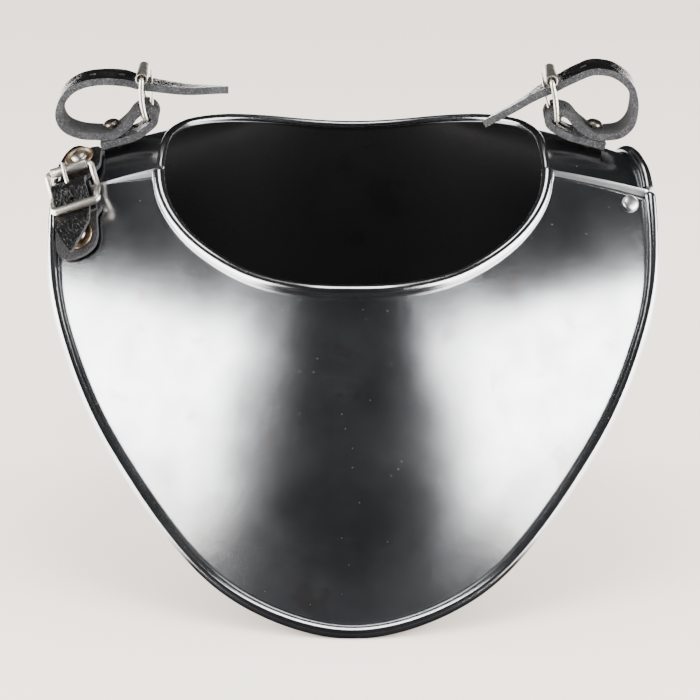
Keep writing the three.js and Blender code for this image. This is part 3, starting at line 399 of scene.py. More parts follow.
RIB_COLUMNS = ("neck_side", "neck_deep", "neck_rise", "side", "deep", "height", "bulge")
CURVE_ROUNDS = 40
RIBS = (
    (0, -1, 0, 0, -1, 0.012, 0.5),
    (0.177, -0.986, 0.003, 0.227, -0.962, 0.038, 0.5),
    (0.353, -0.921, 0.018, 0.44, -0.863, 0.106, 0.48),
    (0.516, -0.821, 0.06, 0.61, -0.739, 0.217, 0.44),
    (0.661, -0.686, 0.137, 0.747, -0.611, 0.342, 0.38),
    (0.79, -0.547, 0.25, 0.862, -0.487, 0.472, 0.3),
    (0.889, -0.393, 0.38, 0.95, -0.359, 0.621, 0.2),
    (0.96, -0.226, 0.545, 1, -0.209, 0.777, 0.12),
    (0.986, -0.029, 0.745, 0.998, 0.017, 0.941, 0.06),
    (0.97, 0.2, 0.915, 0.974, 0.142, 1.0, 0.06),
    (0.945, 0.387, 0.98, 0.943, 0.258, 1.01, 0.1),
    (0.89, 0.58, 1.0, 0.904, 0.392, 0.965, 0.22),
    (0.805, 0.726, 1, 0.858, 0.542, 0.849, 0.42),
    (0.656, 0.852, 0.98, 0.809, 0.683, 0.679, 0.65),
    (0.462, 0.94, 0.933, 0.72, 0.808, 0.44, 0.82),
    (0.237, 0.989, 0.873, 0.51, 0.933, 0.1, 0.95),
    (0, 1, 0.849, 0, 1, -0.03, 1),
)


def rib_column(name):
    """A smooth closed curve through one column, right half and then mirrored left half."""
    column = RIB_COLUMNS.index(name)
    sign = -1 if name.endswith("side") else 1
    right = [row[column] for row in RIBS]
    values = np.array(right + [sign * value for value in right[-2:0:-1]], float)
    spread = np.roll(values, -1) - np.roll(values, 1)
    slopes = spread / 2
    for _ in range(CURVE_ROUNDS):
        slopes = (3 * spread - np.roll(slopes, 1) - np.roll(slopes, -1)) / 4
    count = len(values)

    def curve(turn):
        place = np.mod(np.asarray(turn, float) / 2 * (len(RIBS) - 1), count)
        i = np.floor(place).astype(int) % count
        f = place - np.floor(place)
        after = (i + 1) % count
        rising = f * f * (3 - 2 * f)
        return (values[i] * (1 - rising) + values[after] * rising
                + slopes[i] * f * (1 - f) ** 2 - slopes[after] * f * f * (1 - f))

    return curve


rib = {name: rib_column(name) for name in RIB_COLUMNS}


def neck_points(turn):
    deep = rib["neck_deep"](turn)
    return np.stack([rib["neck_side"](turn) * NECK_HALF_WIDTH,
                     np.where(deep < 0, deep * NECK_FRONT_REACH, deep * NECK_BACK_REACH),
                     NECK_FRONT_HEIGHT + rib["neck_rise"](turn) * COLLAR_RISE], -1)


def edge_points(turn):
    deep = rib["deep"](turn)
    return np.stack([rib["side"](turn) * MANTLE_HALF_WIDTH,
                     np.where(deep < 0, deep * MANTLE_FRONT_REACH, deep * MANTLE_BACK_REACH),
                     np.maximum(rib["height"](turn) * SHOULDER_HEIGHT, FOOT_HEIGHT)], -1)


def unit(vectors):
    return vectors / np.linalg.norm(vectors, axis=-1, keepdims=True)


def mantle_points(turn, reach):
    turn, reach = np.broadcast_arrays(np.asarray(turn, float), np.asarray(reach, float))
    neck, edge = neck_points(turn), edge_points(turn)
    ahead, behind = turn + 0.01, turn - 0.01
    across = neck_points(ahead) - neck_points(behind) + edge_points(ahead) - edge_points(behind)
    outwards = unit(np.cross(edge - neck, across))
    swell = 4 * reach * (1 - reach) * rib["bulge"](turn) * PLATE_BULGE
    return neck + (edge - neck) * reach[..., None] + outwards * swell[..., None] + np.array(MODEL_PLACE)


def mantle_frames(turn, reach):
    """The surface's point and its directions: along towards the back, down towards the edge, and out."""
    step = 0.004
    along = unit(mantle_points(turn + step, reach) - mantle_points(turn - step, reach))
    down = unit(mantle_points(turn, reach + step) - mantle_points(turn, reach - step))
    return mantle_points(turn, reach), along, down, unit(np.cross(down, along))


print("edge at the seam, mm:", np.round(edge_points(np.array(1.0)) / MM, 1))

# %% [markdown]
# Each plate is one sheet whose two long edges are curled over, away from the body. So it is one grid, which
# runs from the end of one curl round the neck roll, down the sheet and round the outer roll. A grid primitive
# gives the points, each is moved to its place on the mantle, and Solidify then gives the sheet its thickness.
# The inner wall takes the near-black material, but not on the rolls, because there it is the wall that shows.

# %% Grid pieces
def grid_object(name, columns, rows, place_points):
    """A grid primitive of columns by rows, its vertices moved by a function of two shares from 0 to 1."""
    deselect_all()
    bpy.ops.mesh.primitive_grid_add(x_subdivisions=columns, y_subdivisions=rows, size=1)
    piece = bpy.context.object
    piece.name = name
    piece.data.name = name
    flat = np.zeros(len(piece.data.vertices) * 3)
    piece.data.vertices.foreach_get("co", flat)
    flat = flat.reshape(-1, 3)
    placed = place_points(flat[:, 0] + 0.5, flat[:, 1] + 0.5)
    piece.data.vertices.foreach_set("co", np.asarray(placed, float).ravel())
    piece.data.update()
    return piece


def apply_modifier(piece, kind, **settings):
    select_only(piece)
    modifier = piece.modifiers.new(kind.lower(), kind)
    for key, value in settings.items():
        setattr(modifier, key, value)
    bpy.ops.object.modifier_apply(modifier=modifier.name)


def smooth(piece, angle=60):
    select_only(piece)
    bpy.ops.object.shade_smooth_by_angle(angle=math.radians(angle))


def stand_for(piece, node):
    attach(piece, "root")
    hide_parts(node)
    triangles = sum(len(face.vertices) - 2 for face in piece.data.polygons)
    print(f"{piece.name}: {triangles} triangles")


# %% [markdown]
# Across the sheet, shares up to CURL belong to the neck roll, and shares past 1 - CURL to the outer roll. The
# curl starts level with the sheet, at CURL_START degrees round its circle, goes over its top and ends at
# 180 + CURL_END degrees. At the shoulder the front plate's edge turns up into a lip, and its rolls close to a
# rounded end.

# %% Plates
CURL = 0.16
CURL_START = 270
CURL_END = 60
WALL = 1.1 * MM
LIP_HEIGHT = 3.0 * MM
LIP_RUN = 4.4 * MM
LEAST_CURL = 0.2 * MM
PLATE_COLUMNS = 300
PLATE_ROWS = 96
EDGE_SAMPLES = 2000
ROLL_FACE, SHEET_FACE, LIP_FACE = 0, 2, 4


def sheet_depth(reach, back):
    front = (FRONT_NECK_ROLL + (OUTER_ROLL - FRONT_NECK_ROLL) * reach) / 2 - SHEET / 2
    return front + (SHEET + CLEARANCE if back else 0)


def rolled_points(turn, across, neck_roll, outer_roll, back, rise=0.0, roll_share=1.0):
    """Points of a plate with curled edges. Turn and across are arrays, across from 0 at the neck to 1."""
    turn = np.asarray(turn, float)
    at_neck = across < CURL
    at_edge = across > 1 - CURL
    reach = np.clip((across - CURL) / (1 - 2 * CURL), 0, 1)
    point, along, down, out = mantle_frames(turn, reach)
    sheet = point - out * sheet_depth(reach, back)[..., None]
    share = np.where(at_neck, 1 - across / CURL, np.where(at_edge, (across - 1 + CURL) / CURL, 0))
    diameter = np.where(at_neck, neck_roll, outer_roll) * roll_share
    radius = np.maximum(diameter - SHEET, LEAST_CURL) / 2
    way = np.where(at_neck, -1, 1)
    angle = np.radians(CURL_START + share * (360 - CURL_START + 180 + CURL_END))
    curled = (down * (way * radius * np.cos(angle))[..., None]
              + out * (radius * (1 + np.sin(angle)))[..., None])
    return sheet + curled + out * np.asarray(rise)[..., None]


def even_lengths(low, high):
    """Turns spaced evenly along the mantle's outer edge, as a function of a share from 0 to 1."""
    turns = np.linspace(low, high, EDGE_SAMPLES)
    length = np.concatenate([[0], np.cumsum(np.linalg.norm(np.diff(edge_points(turns), axis=0), axis=1))])
    blend = 0.5 * length / length[-1] + 0.5 * np.linspace(0, 1, EDGE_SAMPLES)
    return lambda share: np.interp(share, blend, turns)


def plate(name, rim, steel, place_points):
    piece = grid_object(name, PLATE_COLUMNS, PLATE_ROWS, place_points)
    for material in (rim, rim, black_inside, steel, black_inside, bright_steel_painted_highlight):
        piece.data.materials.append(material)
    return piece


# The lip's profile: how far along its run it is and how high it has risen, at steps towards the edge.
LIP_STEPS = (0, 0.12, 0.3, 0.5, 0.7, 0.85, 0.93, 1)
LIP_RUNS = (0, 0.14, 0.34, 0.56, 0.78, 0.93, 0.98, 1)
LIP_RISES = (0, 0.03, 0.25, 0.52, 0.79, 0.95, 0.99, 0.96)
LIP_SHARE = 0.463
LIP_REACH = 0.6
LIP_FOOT = 0.35
FRONT_END = 0.94
FRONT_MARGIN = 0.09
ROLL_CLOSES = 0.55
BACK_START = 1.012
BACK_MARGIN = 0.05
TONGUE_TURN = 0.1


def spread_turns(share, margin, low, high):
    """Turns spaced between a plate's two margins, and how far into a margin each share lies, 0 to 1."""
    middle = (share - margin) / (1 - 2 * margin)
    turn = even_lengths(low, high)(np.clip(middle, 0, 1))
    return turn, np.clip(np.abs(share - 0.5) - 0.5 + margin, 0, margin) / margin


def front_points(share, across):
    turn, near_end = spread_turns(share, FRONT_MARGIN, -FRONT_END, FRONT_END)
    side = np.sign(share - 0.5)
    reach = np.clip((across - CURL) / (1 - 2 * CURL), 0, 1)
    speed = np.linalg.norm(mantle_points(side, reach) - mantle_points(side * 0.98, reach), axis=-1) / 0.02
    fade = np.where(side < 0, np.clip(1.05 - reach / LIP_REACH, 0, 1), 0.65 + 0.35 * reach)
    lip = np.clip((near_end - LIP_FOOT) / (1 - LIP_FOOT), 0, 1)
    run = LIP_RUN * (0.12 + 0.88 * fade) / speed
    at_end = FRONT_END + (1 - FRONT_END - run) * np.clip(near_end / LIP_FOOT, 0, 1)
    at_end = np.where(lip > 0, 1 - run + np.interp(lip, LIP_STEPS, LIP_RUNS) * run, at_end)
    turn = np.where(near_end > 0, side * at_end, turn)
    fade = fade * np.clip((across - CURL) / 0.02, 0, 1) * np.clip((1 - CURL - across) / 0.02, 0, 1)
    rise = LIP_HEIGHT * fade * np.interp(lip, LIP_STEPS, LIP_RISES)
    closed = np.clip(1 - ((near_end - ROLL_CLOSES) / (1 - ROLL_CLOSES)) ** 2, 0.02, 1)
    roll_share = np.where(near_end > ROLL_CLOSES, np.sqrt(closed), 1)
    return rolled_points(turn, across, FRONT_NECK_ROLL, OUTER_ROLL, False, rise, roll_share)


def back_points(share, across):
    """The rolls end at the seam. Past it, a plain tongue goes on under the front plate."""
    turn, past = spread_turns(share, BACK_MARGIN, BACK_START, 4 - BACK_START)
    side = np.sign(share - 0.5)
    turn = np.where(past > 0, 2 + side * (2 - BACK_START + TONGUE_TURN * past), turn)
    roll_share = np.where(past > 0, 0.05, 1)
    return rolled_points(turn, across, BACK_NECK_ROLL, OUTER_ROLL, True, 0.0, roll_share)


def finish_plate(piece, node, marks):
    """Marks the faces, gives the sheet its wall, keeps it above the floor and smooths it."""
    for mark, face in zip(marks, piece.data.polygons):
        face.material_index = mark
    apply_modifier(piece, "SOLIDIFY", thickness=WALL, offset=0, use_even_offset=True, material_offset=1,
                   material_offset_rim=1, use_quality_normals=True)
    for vertex in piece.data.vertices:
        vertex.co.z = max(vertex.co.z, 0)
    smooth(piece, 40)
    stand_for(piece, node)


def face_marks(lipped):
    """The material of each face of a fresh grid, in the order of its faces: a roll, the sheet or a lip."""
    deselect_all()
    bpy.ops.mesh.primitive_grid_add(x_subdivisions=PLATE_COLUMNS, y_subdivisions=PLATE_ROWS, size=1)
    probe = bpy.context.object
    marks = []
    for face in probe.data.polygons:
        share, across = face.center.x, face.center.y + 0.5
        reach = (across - CURL) / (1 - 2 * CURL)
        near_lip = lipped and abs(share) > LIP_SHARE and (share > 0 or reach < LIP_REACH)
        on_sheet = LIP_FACE if near_lip else SHEET_FACE
        marks.append(on_sheet if 0 < reach < 1 else ROLL_FACE)
    bpy.data.objects.remove(probe)
    return marks


front_plate = plate("front_plate_sheet", rim_steel, plate_steel, front_points)
finish_plate(front_plate, "front_plate", face_marks(True))
back_plate = plate("back_plate_sheet", back_steel_painted_shade, back_steel_painted_shade, back_points)
finish_plate(back_plate, "back_plate", face_marks(False))

# %% [markdown]
# The buckles are bent from bright wire with a warm nickel finish, worn and slightly dull. The washers are of
# brown bronze and the strap rivets of a greyer metal. All three share one recipe with other colours.

# %% Fitting metals
def fitting_metal(name, colour, worn, roughness):
    material, tree, shader, place = start_material(name, colour, roughness, 1.0)
    cloud = place_group(tree, clouds, place, scale=260.0, detail=5.0)
    fine = place_group(tree, clouds, place, scale=1500.0, detail=3.0)
    speck = place_group(tree, specks, place, scale=900.0, size=0.24, share=0.3)
    patch = range_node(tree, cloud, 0.5, 0.95, 0.0, 0.8)
    base = mix_colours(tree, patch, colour, worn)
    dark = mix_colours(tree, math_node(tree, "MULTIPLY", speck, 0.7), base, (0.16, 0.12, 0.09))
    tree.links.new(dark, shader.inputs["Base Color"])
    rough = math_node(tree, "MULTIPLY_ADD", cloud, 0.14, roughness)
    tree.links.new(rough, shader.inputs["Roughness"])
    bump(tree, shader, math_node(tree, "ADD", fine, speck), 0.16, 0.0002)
    return material


nickel = fitting_metal("nickel_wire", (0.78, 0.74, 0.67), (0.5, 0.44, 0.36), 0.3)
bronze = fitting_metal("washer_bronze", (0.50, 0.37, 0.24), (0.22, 0.15, 0.10), 0.3)
rivet_metal = fitting_metal("rivet_metal", (0.46, 0.42, 0.37), (0.24, 0.19, 0.15), 0.24)
print("metals:", [metal.name for metal in (nickel, bronze, rivet_metal)])

# %% [markdown]
# The leather is dyed black on its grain side, which is glossy and finely wrinkled. Its flesh side is dull,
# and its colour is painted darker than the grey, fuzzy cut edges, as painted shade. Solidify puts the second
# material on the wall that it adds and the third on the rim, so one strip shows all three.

# %% Leather
def build_grain():
    group, start, end = new_group("leather_grain", [("Vector", "NodeSocketVector", None),
                                                    ("Scale", "NodeSocketFloat", 900.0)])
    bend = add_node(group, "ShaderNodeTexNoise", {"Vector": start.outputs["Vector"], "Scale": 300.0,
                                                  "Detail": 2.0})
    push = add_node(group, "ShaderNodeVectorMath", {0: bend.outputs["Color"], 3: 0.0016}, operation="SCALE")
    moved = add_node(group, "ShaderNodeVectorMath", {0: start.outputs["Vector"], 1: push.outputs[0]})
    cells = add_node(group, "ShaderNodeTexVoronoi", {"Vector": moved.outputs[0],
                                                     "Scale": start.outputs["Scale"]},
                     feature="DISTANCE_TO_EDGE")
    crease = add_node(group, "ShaderNodeTexNoise", {"Vector": moved.outputs[0], "Scale": 130.0, "Detail": 3.0,
                                                    "Roughness": 0.55})
    cell = range_node(group, cells.outputs["Distance"], 0.0, 0.22)
    fold = range_node(group, crease.outputs["Fac"], 0.38, 0.62)
    height = math_node(group, "MULTIPLY_ADD", cell, 0.2, math_node(group, "MULTIPLY", fold, 0.8))
    group.links.new(height, end.inputs["Mask"])
    return group


grain = build_grain()

leather_face, tree, shader, place = start_material("leather_grain_side", (0.008, 0.007, 0.008), 0.42)
shader.inputs["Specular IOR Level"].default_value = 0.24
relief = place_group(tree, grain, place, scale=600.0)
wear = place_group(tree, clouds, place, scale=120.0, detail=6.0)
rub = range_node(tree, wear, 0.55, 1.0, 0.0, 0.6)
rubbed = mix_colours(tree, rub, (0.004, 0.004, 0.004), (0.014, 0.012, 0.012))
tree.links.new(rubbed, shader.inputs["Base Color"])
tree.links.new(range_node(tree, relief, 0.0, 1.0, 0.3, 0.12), shader.inputs["Roughness"])
bump(tree, shader, relief, 0.55, 0.0009)


def raw_leather(name, dark, light, fluff):
    material, tree, shader, place = start_material(name, light, 0.95)
    shader.inputs["Specular IOR Level"].default_value = 0.2
    shader.inputs["Sheen Weight"].default_value = 0.12
    shader.inputs["Sheen Roughness"].default_value = 0.6
    nap = place_group(tree, clouds, place, scale=1300.0, detail=8.0)
    patch = place_group(tree, clouds, place, scale=170.0, detail=4.0)
    speck = place_group(tree, specks, place, scale=1100.0, size=0.34, share=0.3)
    tone = mix_colours(tree, patch, dark, light)
    deep = tuple(0.3 * part for part in dark)
    nappy = mix_colours(tree, math_node(tree, "MULTIPLY", nap, 0.85), tone, deep)
    tree.links.new(mix_colours(tree, math_node(tree, "MULTIPLY", speck, 0.5), nappy, fluff),
                   shader.inputs["Base Color"])
    bump(tree, shader, nap, 0.9, 0.0009)
    return material


leather_edge = raw_leather("leather_cut_edge",
                           (0.03, 0.031, 0.037), (0.078, 0.081, 0.09), (0.2, 0.195, 0.19))
# The flesh side is the same raw leather as the cut edge, made darker: painted shade for the shadow under and
# inside the straps.
flesh_side_painted_shade = raw_leather("leather_flesh_side_painted_shade",
                            (0.008, 0.008, 0.009), (0.02, 0.02, 0.022), (0.08, 0.08, 0.08))
LEATHER_SIDES = (leather_face, flesh_side_painted_shade, leather_edge)
FLESH_SIDE, CUT_EDGE = 1, 2
print("leather:", [material.name for material in LEATHER_SIDES])

# %% [markdown]
# Rivets, washers and rollers are round about an axis. A circle is added at the first radius, and each row of
# a short profile is an extrude, a move and a resize, as on a lathe. A ring of rows that comes back to its
# start makes a hollow body once its doubles are merged.

# %% Turned pieces
TUBE_EDGE = 0.35
PEEN, PEEN_TIP = 3.0, 2.6
PEEN_SIDE, PEEN_DEPTH = 0.8, 1.4
HEAD_FOOT = 0.3


def turned(name, profile, sides=48, closed=False):
    """A body round the Z axis, from rows of radius and height in millimetres."""
    deselect_all()
    radius, height = profile[0]
    bpy.ops.mesh.primitive_circle_add(vertices=sides, radius=radius * MM, location=(0, 0, 0),
                                      fill_type="NOTHING" if closed else "TRIFAN")
    piece = bpy.context.object
    piece.name = name
    piece.data.name = name
    piece.data.transform(Matrix.Translation((0, 0, height * MM)))
    bpy.ops.object.mode_set(mode="EDIT")
    bpy.ops.mesh.select_all(action="DESELECT")
    bpy.ops.object.mode_set(mode="OBJECT")
    for vertex in piece.data.vertices:
        vertex.select = abs(vertex.co.xy.length - radius * MM) < 1e-7
    for edge in piece.data.edges:
        edge.select = all(piece.data.vertices[i].select for i in edge.vertices)
    bpy.ops.object.mode_set(mode="EDIT")
    for next_radius, next_height in profile[1:]:
        move = {"value": (0, 0, (next_height - height) * MM)}
        bpy.ops.mesh.extrude_region_move(TRANSFORM_OT_translate=move)
        scale = next_radius / radius
        bpy.ops.transform.resize(value=(scale, scale, 1), center_override=(0, 0, next_height * MM))
        radius, height = next_radius, next_height
    if not closed:
        bpy.ops.mesh.edge_face_add()
        bpy.ops.mesh.poke()
    bpy.ops.mesh.select_all(action="SELECT")
    bpy.ops.mesh.remove_doubles(threshold=1e-6)
    bpy.ops.mesh.normals_make_consistent(inside=False)
    bpy.ops.object.mode_set(mode="OBJECT")
    return piece


def tube(name, inner, outer, length):
    """A roller: a short tube of sheet whose ends are rounded."""
    half, soft = length / 2, TUBE_EDGE
    profile = [(inner, -half), (outer - soft, -half), (outer - 0.3 * soft, -half + 0.3 * soft),
               (outer, -half + soft), (outer, half - soft), (outer - 0.3 * soft, half - 0.3 * soft),
               (outer - soft, half), (inner, half), (inner, -half)]
    return turned(name, profile, closed=True)


def standing_at(place, axis):
    """The matrix that moves a piece from the origin to a place, with its Z axis along another axis."""
    turn = Vector((0, 0, 1)).rotation_difference(Vector(axis)).to_matrix().to_4x4()
    return Matrix.Translation(Vector(place)) @ turn


def set_in_place(piece, place, axis, material, node):
    piece.data.transform(standing_at(place, axis))
    piece.data.materials.append(material)
    smooth(piece, 38)
    stand_for(piece, node)


def dome(head, rise, shank, foot):
    """Profile of a rivet: its hidden peened end, its shank, and a domed head with a soft rim."""
    rows = [(PEEN_TIP, -foot - PEEN_DEPTH), (PEEN, -foot - PEEN_SIDE), (PEEN, -foot)]
    rows += [(shank / 2, -foot), (shank / 2, HEAD_FOOT), (head / 2 - 0.25, HEAD_FOOT), (head / 2, 0.45)]
    for step in range(1, 9):
        angle = math.pi / 2 * step / 9
        rows.append((head / 2 * math.cos(angle), 0.6 + rise * math.sin(angle)))
    return rows


# %% [markdown]
# The pivot rivet joins the plates at the photograph's right shoulder. It stands square to the front plate,
# and its head is flatter than the others.

# %% Pivot rivet
RIVET_HEAD = 8
RIVET_RISE = 2.2
RIVET_SHANK = 3.6
RIVET_TAIL = 0.8
PIVOT_PLACE = (0.969, 0.805)
PIVOT_HEAD, PIVOT_RISE, PIVOT_FOOT = 8.2, 1.6, 3.4


def plate_seat(turn, reach, back):
    """Where a rivet's axis leaves a plate's outside, and the direction in which it leaves."""
    point, _, _, out = mantle_frames(np.array(turn), np.array(reach))
    return Vector(point + out * (SHEET / 2 - sheet_depth(np.array(reach), back))), Vector(out)


pivot_seat, pivot_out = plate_seat(*PIVOT_PLACE, False)
pivot = turned("pivot_rivet_dome", dome(PIVOT_HEAD, PIVOT_RISE, RIVET_SHANK, PIVOT_FOOT))
# The pivot rivet takes the lighter steel, so its lighter colour is a painted highlight.
set_in_place(pivot, pivot_seat, pivot_out, bright_steel_painted_highlight, "pivot_rivet")

# %% [markdown]
# A strap is a strip of leather on a route. The route is a short table: how far out and how high each point
# lies, as shares of the strap's size, and how many layers of leather lie under it. A smooth curve through the
# rows is then measured along its length, so that the strip's points lie evenly on it.

# %% Routes
def route_curve(rows, per_step=24):
    """A centripetal curve through rows of numbers, the first two of which are its place."""
    rows = np.asarray(rows, float)
    ends = np.vstack([2 * rows[0] - rows[1], rows, 2 * rows[-1] - rows[-2]])
    samples = []
    for i in range(1, len(ends) - 2):
        p0, p1, p2, p3 = ends[i - 1:i + 3]
        gaps = [max(np.linalg.norm(b[:2] - a[:2]) ** 0.5, 1e-4) for a, b in ((p0, p1), (p1, p2), (p2, p3))]
        start = ((p1 - p0) / gaps[0] - (p2 - p0) / (gaps[0] + gaps[1]) + (p2 - p1) / gaps[1]) * gaps[1]
        end = ((p2 - p1) / gaps[1] - (p3 - p1) / (gaps[1] + gaps[2]) + (p3 - p2) / gaps[2]) * gaps[1]
        t = np.linspace(0, 1, per_step, endpoint=False)[:, None]
        samples.append(p1 * (2 * t ** 3 - 3 * t ** 2 + 1) + start * (t ** 3 - 2 * t ** 2 + t)
                       + p2 * (3 * t ** 2 - 2 * t ** 3) + end * (t ** 3 - t ** 2))
    samples = np.vstack(samples + [ends[-2:-1]])
    length = np.concatenate([[0], np.cumsum(np.linalg.norm(np.diff(samples[:, :2], axis=0), axis=1))])
    length /= length[-1]
    return lambda share: np.stack([np.interp(share, length, column) for column in samples.T], -1)


def leather_strip(name, rows, thickness, holder, columns, rows_across, grain_out=True):
    """Rows of x, z, width, middle and tilt in metres and radians; holder places the strip in the frame."""
    curve = route_curve(rows)

    def place_points(share, across):
        here = curve(share)
        ahead, behind = curve(np.minimum(share + 0.002, 1)), curve(np.maximum(share - 0.002, 0))
        tangent = unit(np.stack([ahead[:, 0] - behind[:, 0], ahead[:, 1] - behind[:, 1]], -1))
        normal_x, normal_z = -tangent[:, 1], tangent[:, 0]
        side = (across - 0.5) * here[:, 2]
        tilt = here[:, 4]
        local = np.stack([here[:, 0] + normal_x * side * np.sin(tilt), here[:, 3] + side * np.cos(tilt),
                          here[:, 1] + normal_z * side * np.sin(tilt)], -1)
        return local @ np.array(holder.to_3x3()).T + np.array(holder.translation)

    piece = grid_object(name, columns, rows_across, place_points)
    if not grain_out:
        select_only(piece)
        bpy.ops.object.mode_set(mode="EDIT")
        bpy.ops.mesh.select_all(action="SELECT")
        bpy.ops.mesh.flip_normals()
        bpy.ops.object.mode_set(mode="OBJECT")
    for material in LEATHER_SIDES:
        piece.data.materials.append(material)
    apply_modifier(piece, "SOLIDIFY", thickness=thickness, offset=0, use_even_offset=True,
                   material_offset=FLESH_SIDE, material_offset_rim=CUT_EDGE)
    return piece


# %% [markdown]
# Holes and slots are cut with a Boolean, as a punch cuts real leather, and the cut faces take the look of a
# cut edge. Then a bevel rounds the edges, and two noises, one slow and one fine, roughen the whole strip.

# %% Cuts and edges
def cut_away(piece, cutter):
    for material in LEATHER_SIDES:
        cutter.data.materials.append(material)
    for face in cutter.data.polygons:
        face.material_index = CUT_EDGE
    apply_modifier(piece, "BOOLEAN", object=cutter, operation="DIFFERENCE", solver="EXACT")
    bpy.data.objects.remove(cutter)


def punch(piece, point, axis, diameter, depth):
    """Cuts a round hole, as a leather punch does."""
    deselect_all()
    bpy.ops.mesh.primitive_cylinder_add(vertices=32, radius=diameter / 2, depth=depth)
    cutter = bpy.context.object
    cutter.data.transform(standing_at(point, axis))
    cut_away(piece, cutter)


def cut_slot(piece, holder, middle, size):
    """Cuts a square slot, for a prong's eye."""
    deselect_all()
    bpy.ops.mesh.primitive_cube_add(size=1)
    cutter = bpy.context.object
    cutter.data.transform(holder @ Matrix.Translation(middle) @ Matrix.Diagonal((*size, 1)))
    cut_away(piece, cutter)


def roughen(piece, swell, fuzz, seed):
    """Slow waves in the leather and a fine fuzz, so that no edge is ruled straight."""
    for vertex in piece.data.vertices:
        spot = vertex.co / MM
        wave = noise.noise_vector(spot * 0.13 + Vector((seed, 0, 0)))
        fine = noise.noise_vector(spot * 1.1 + Vector((0, seed, 0)))
        vertex.co += (wave * swell + fine * fuzz) * MM
    piece.data.update()


def finish_leather(piece, node, seed):
    apply_modifier(piece, "BEVEL", width=0.35 * MM, segments=2, limit_method="ANGLE",
                   angle_limit=math.radians(50))
    roughen(piece, 0.16, 0.07, seed)
    smooth(piece, 45)
    stand_for(piece, node)


# %% [markdown]
# A wire is a curve with a round bevel. The frames are rings, rounded rectangles whose corners are arcs, and a
# prong is an open wire that narrows to its tip. The curve is converted to a mesh, because a finished piece is
# one.

# %% Wires
EYE_STEPS = 24
STEM_STEPS = 12
STEM_BOW = 0.35 * MM


def wire_piece(name, points, diameter, closed, taper=None):
    deselect_all()
    bpy.ops.curve.primitive_nurbs_path_add()
    wire = bpy.context.object
    wire.name = name
    wire.data.name = name
    wire.data.splines.clear()
    spline = wire.data.splines.new("POLY")
    spline.points.add(len(points) - 1)
    for number, (spot, place) in enumerate(zip(spline.points, points)):
        spot.co = (*place, 1)
        if taper:
            spot.radius = taper(number / (len(points) - 1))
    spline.use_cyclic_u = closed
    wire.data.dimensions = "3D"
    wire.data.bevel_depth = diameter / 2
    wire.data.bevel_resolution = 6
    wire.data.use_fill_caps = not closed
    wire.data.twist_mode = "MINIMUM"
    wire.select_set(True)
    bpy.context.view_layer.objects.active = wire
    bpy.ops.object.convert(target="MESH")
    return bpy.context.object


def rounded_ring(half_length, half_width, corner, steps=8, side_steps=10):
    """Points round a rounded rectangle as pairs of along and across, starting at a corner."""
    points = []
    for number, (length_side, width_side) in enumerate(((1, 1), (-1, 1), (-1, -1), (1, -1))):
        for step in range(steps + 1):
            angle = math.radians(90 * number + 90 * step / steps)
            points.append((length_side * (half_length - corner) + corner * math.cos(angle),
                           width_side * (half_width - corner) + corner * math.sin(angle)))
        if length_side == width_side:
            for step in range(1, side_steps):
                share = 1 - 2 * step / side_steps
                points.append((length_side * share * (half_length - corner), width_side * half_width))
    return points


def join_pieces(pieces):
    deselect_all()
    for piece in pieces:
        piece.select_set(True)
    bpy.context.view_layer.objects.active = pieces[0]
    bpy.ops.object.join()
    return bpy.context.object


def finish_wire(piece, node):
    piece.data.materials.append(nickel)
    smooth(piece, 60)
    stand_for(piece, node)


def prong_points(bar, roller, over, bar_diameter, roller_diameter, thickness):
    """An eye round the bar and a stem whose tip rests on the far side of the roller."""
    towards = (roller - bar).normalized()
    eye = bar_diameter / 2 + CLEARANCE + thickness / 2
    rest = roller_diameter / 2 + CLEARANCE + thickness / 2
    points = []
    for step in range(EYE_STEPS + 1):
        angle = math.radians(320 - 260 * step / EYE_STEPS)
        points.append(bar + towards * (eye * math.cos(angle)) + over * (eye * math.sin(angle)))
    start = points[-1]
    end = roller + over * rest + towards * (thickness * 0.8)
    for step in range(1, STEM_STEPS + 1):
        share = step / STEM_STEPS
        points.append(start.lerp(end, share) + over * (STEM_BOW * math.sin(math.pi * share)))
    return points


def prong_hole(strap, holder, points, thickness):
    """Punches the strap where a prong's stem goes through it."""
    stem = holder @ points[-1] - holder @ points[EYE_STEPS]
    middle = holder @ ((points[-1] + points[EYE_STEPS]) / 2)
    punch(strap, middle, stem, thickness + 6 * CLEARANCE, stem.length * 1.1)


def pointed(share):
    """The prong narrows to its tip."""
    return 1 if share < 0.6 else 1 - 0.55 * ((share - 0.6) / 0.4) ** 2


# %% [markdown]
# On each shoulder one strip lies on the plate, folds round the buckle's bar, comes back over itself and over
# the rivet, makes a loop in the air, and ends as a tongue through the buckle. The two loops hang differently,
# so each has rows of its own.

# %% Shoulder straps
STRAP = 3.4 * MM
STRAP_WIDTH = 18 * MM
STRAP_REACH = 50 * MM
STRAP_RISE = 40 * MM
STRAP_SEAT = 0.9 * MM
WIRE = 2.4 * MM
PRONG = 1.9 * MM
FRAME_LENGTH = 20 * MM
FRAME_CORNER = 1.9 * MM
SIDE_ROOM = 0.6 * MM
SHOULDER_ROLLER = 5.8
ROLLER_BORE = 2.1
ROLLER_EXTRA = 0.8
STRAP_HOLE = 3 * MM
SLOT_ROOM = 1 * MM
HEAD_LIFT = 1.9 * MM
ROUTE_SAMPLES = 3000
FOLD_ROOM = 1.2 * MM
STRAP_PLACE = (1.235, 0.55)

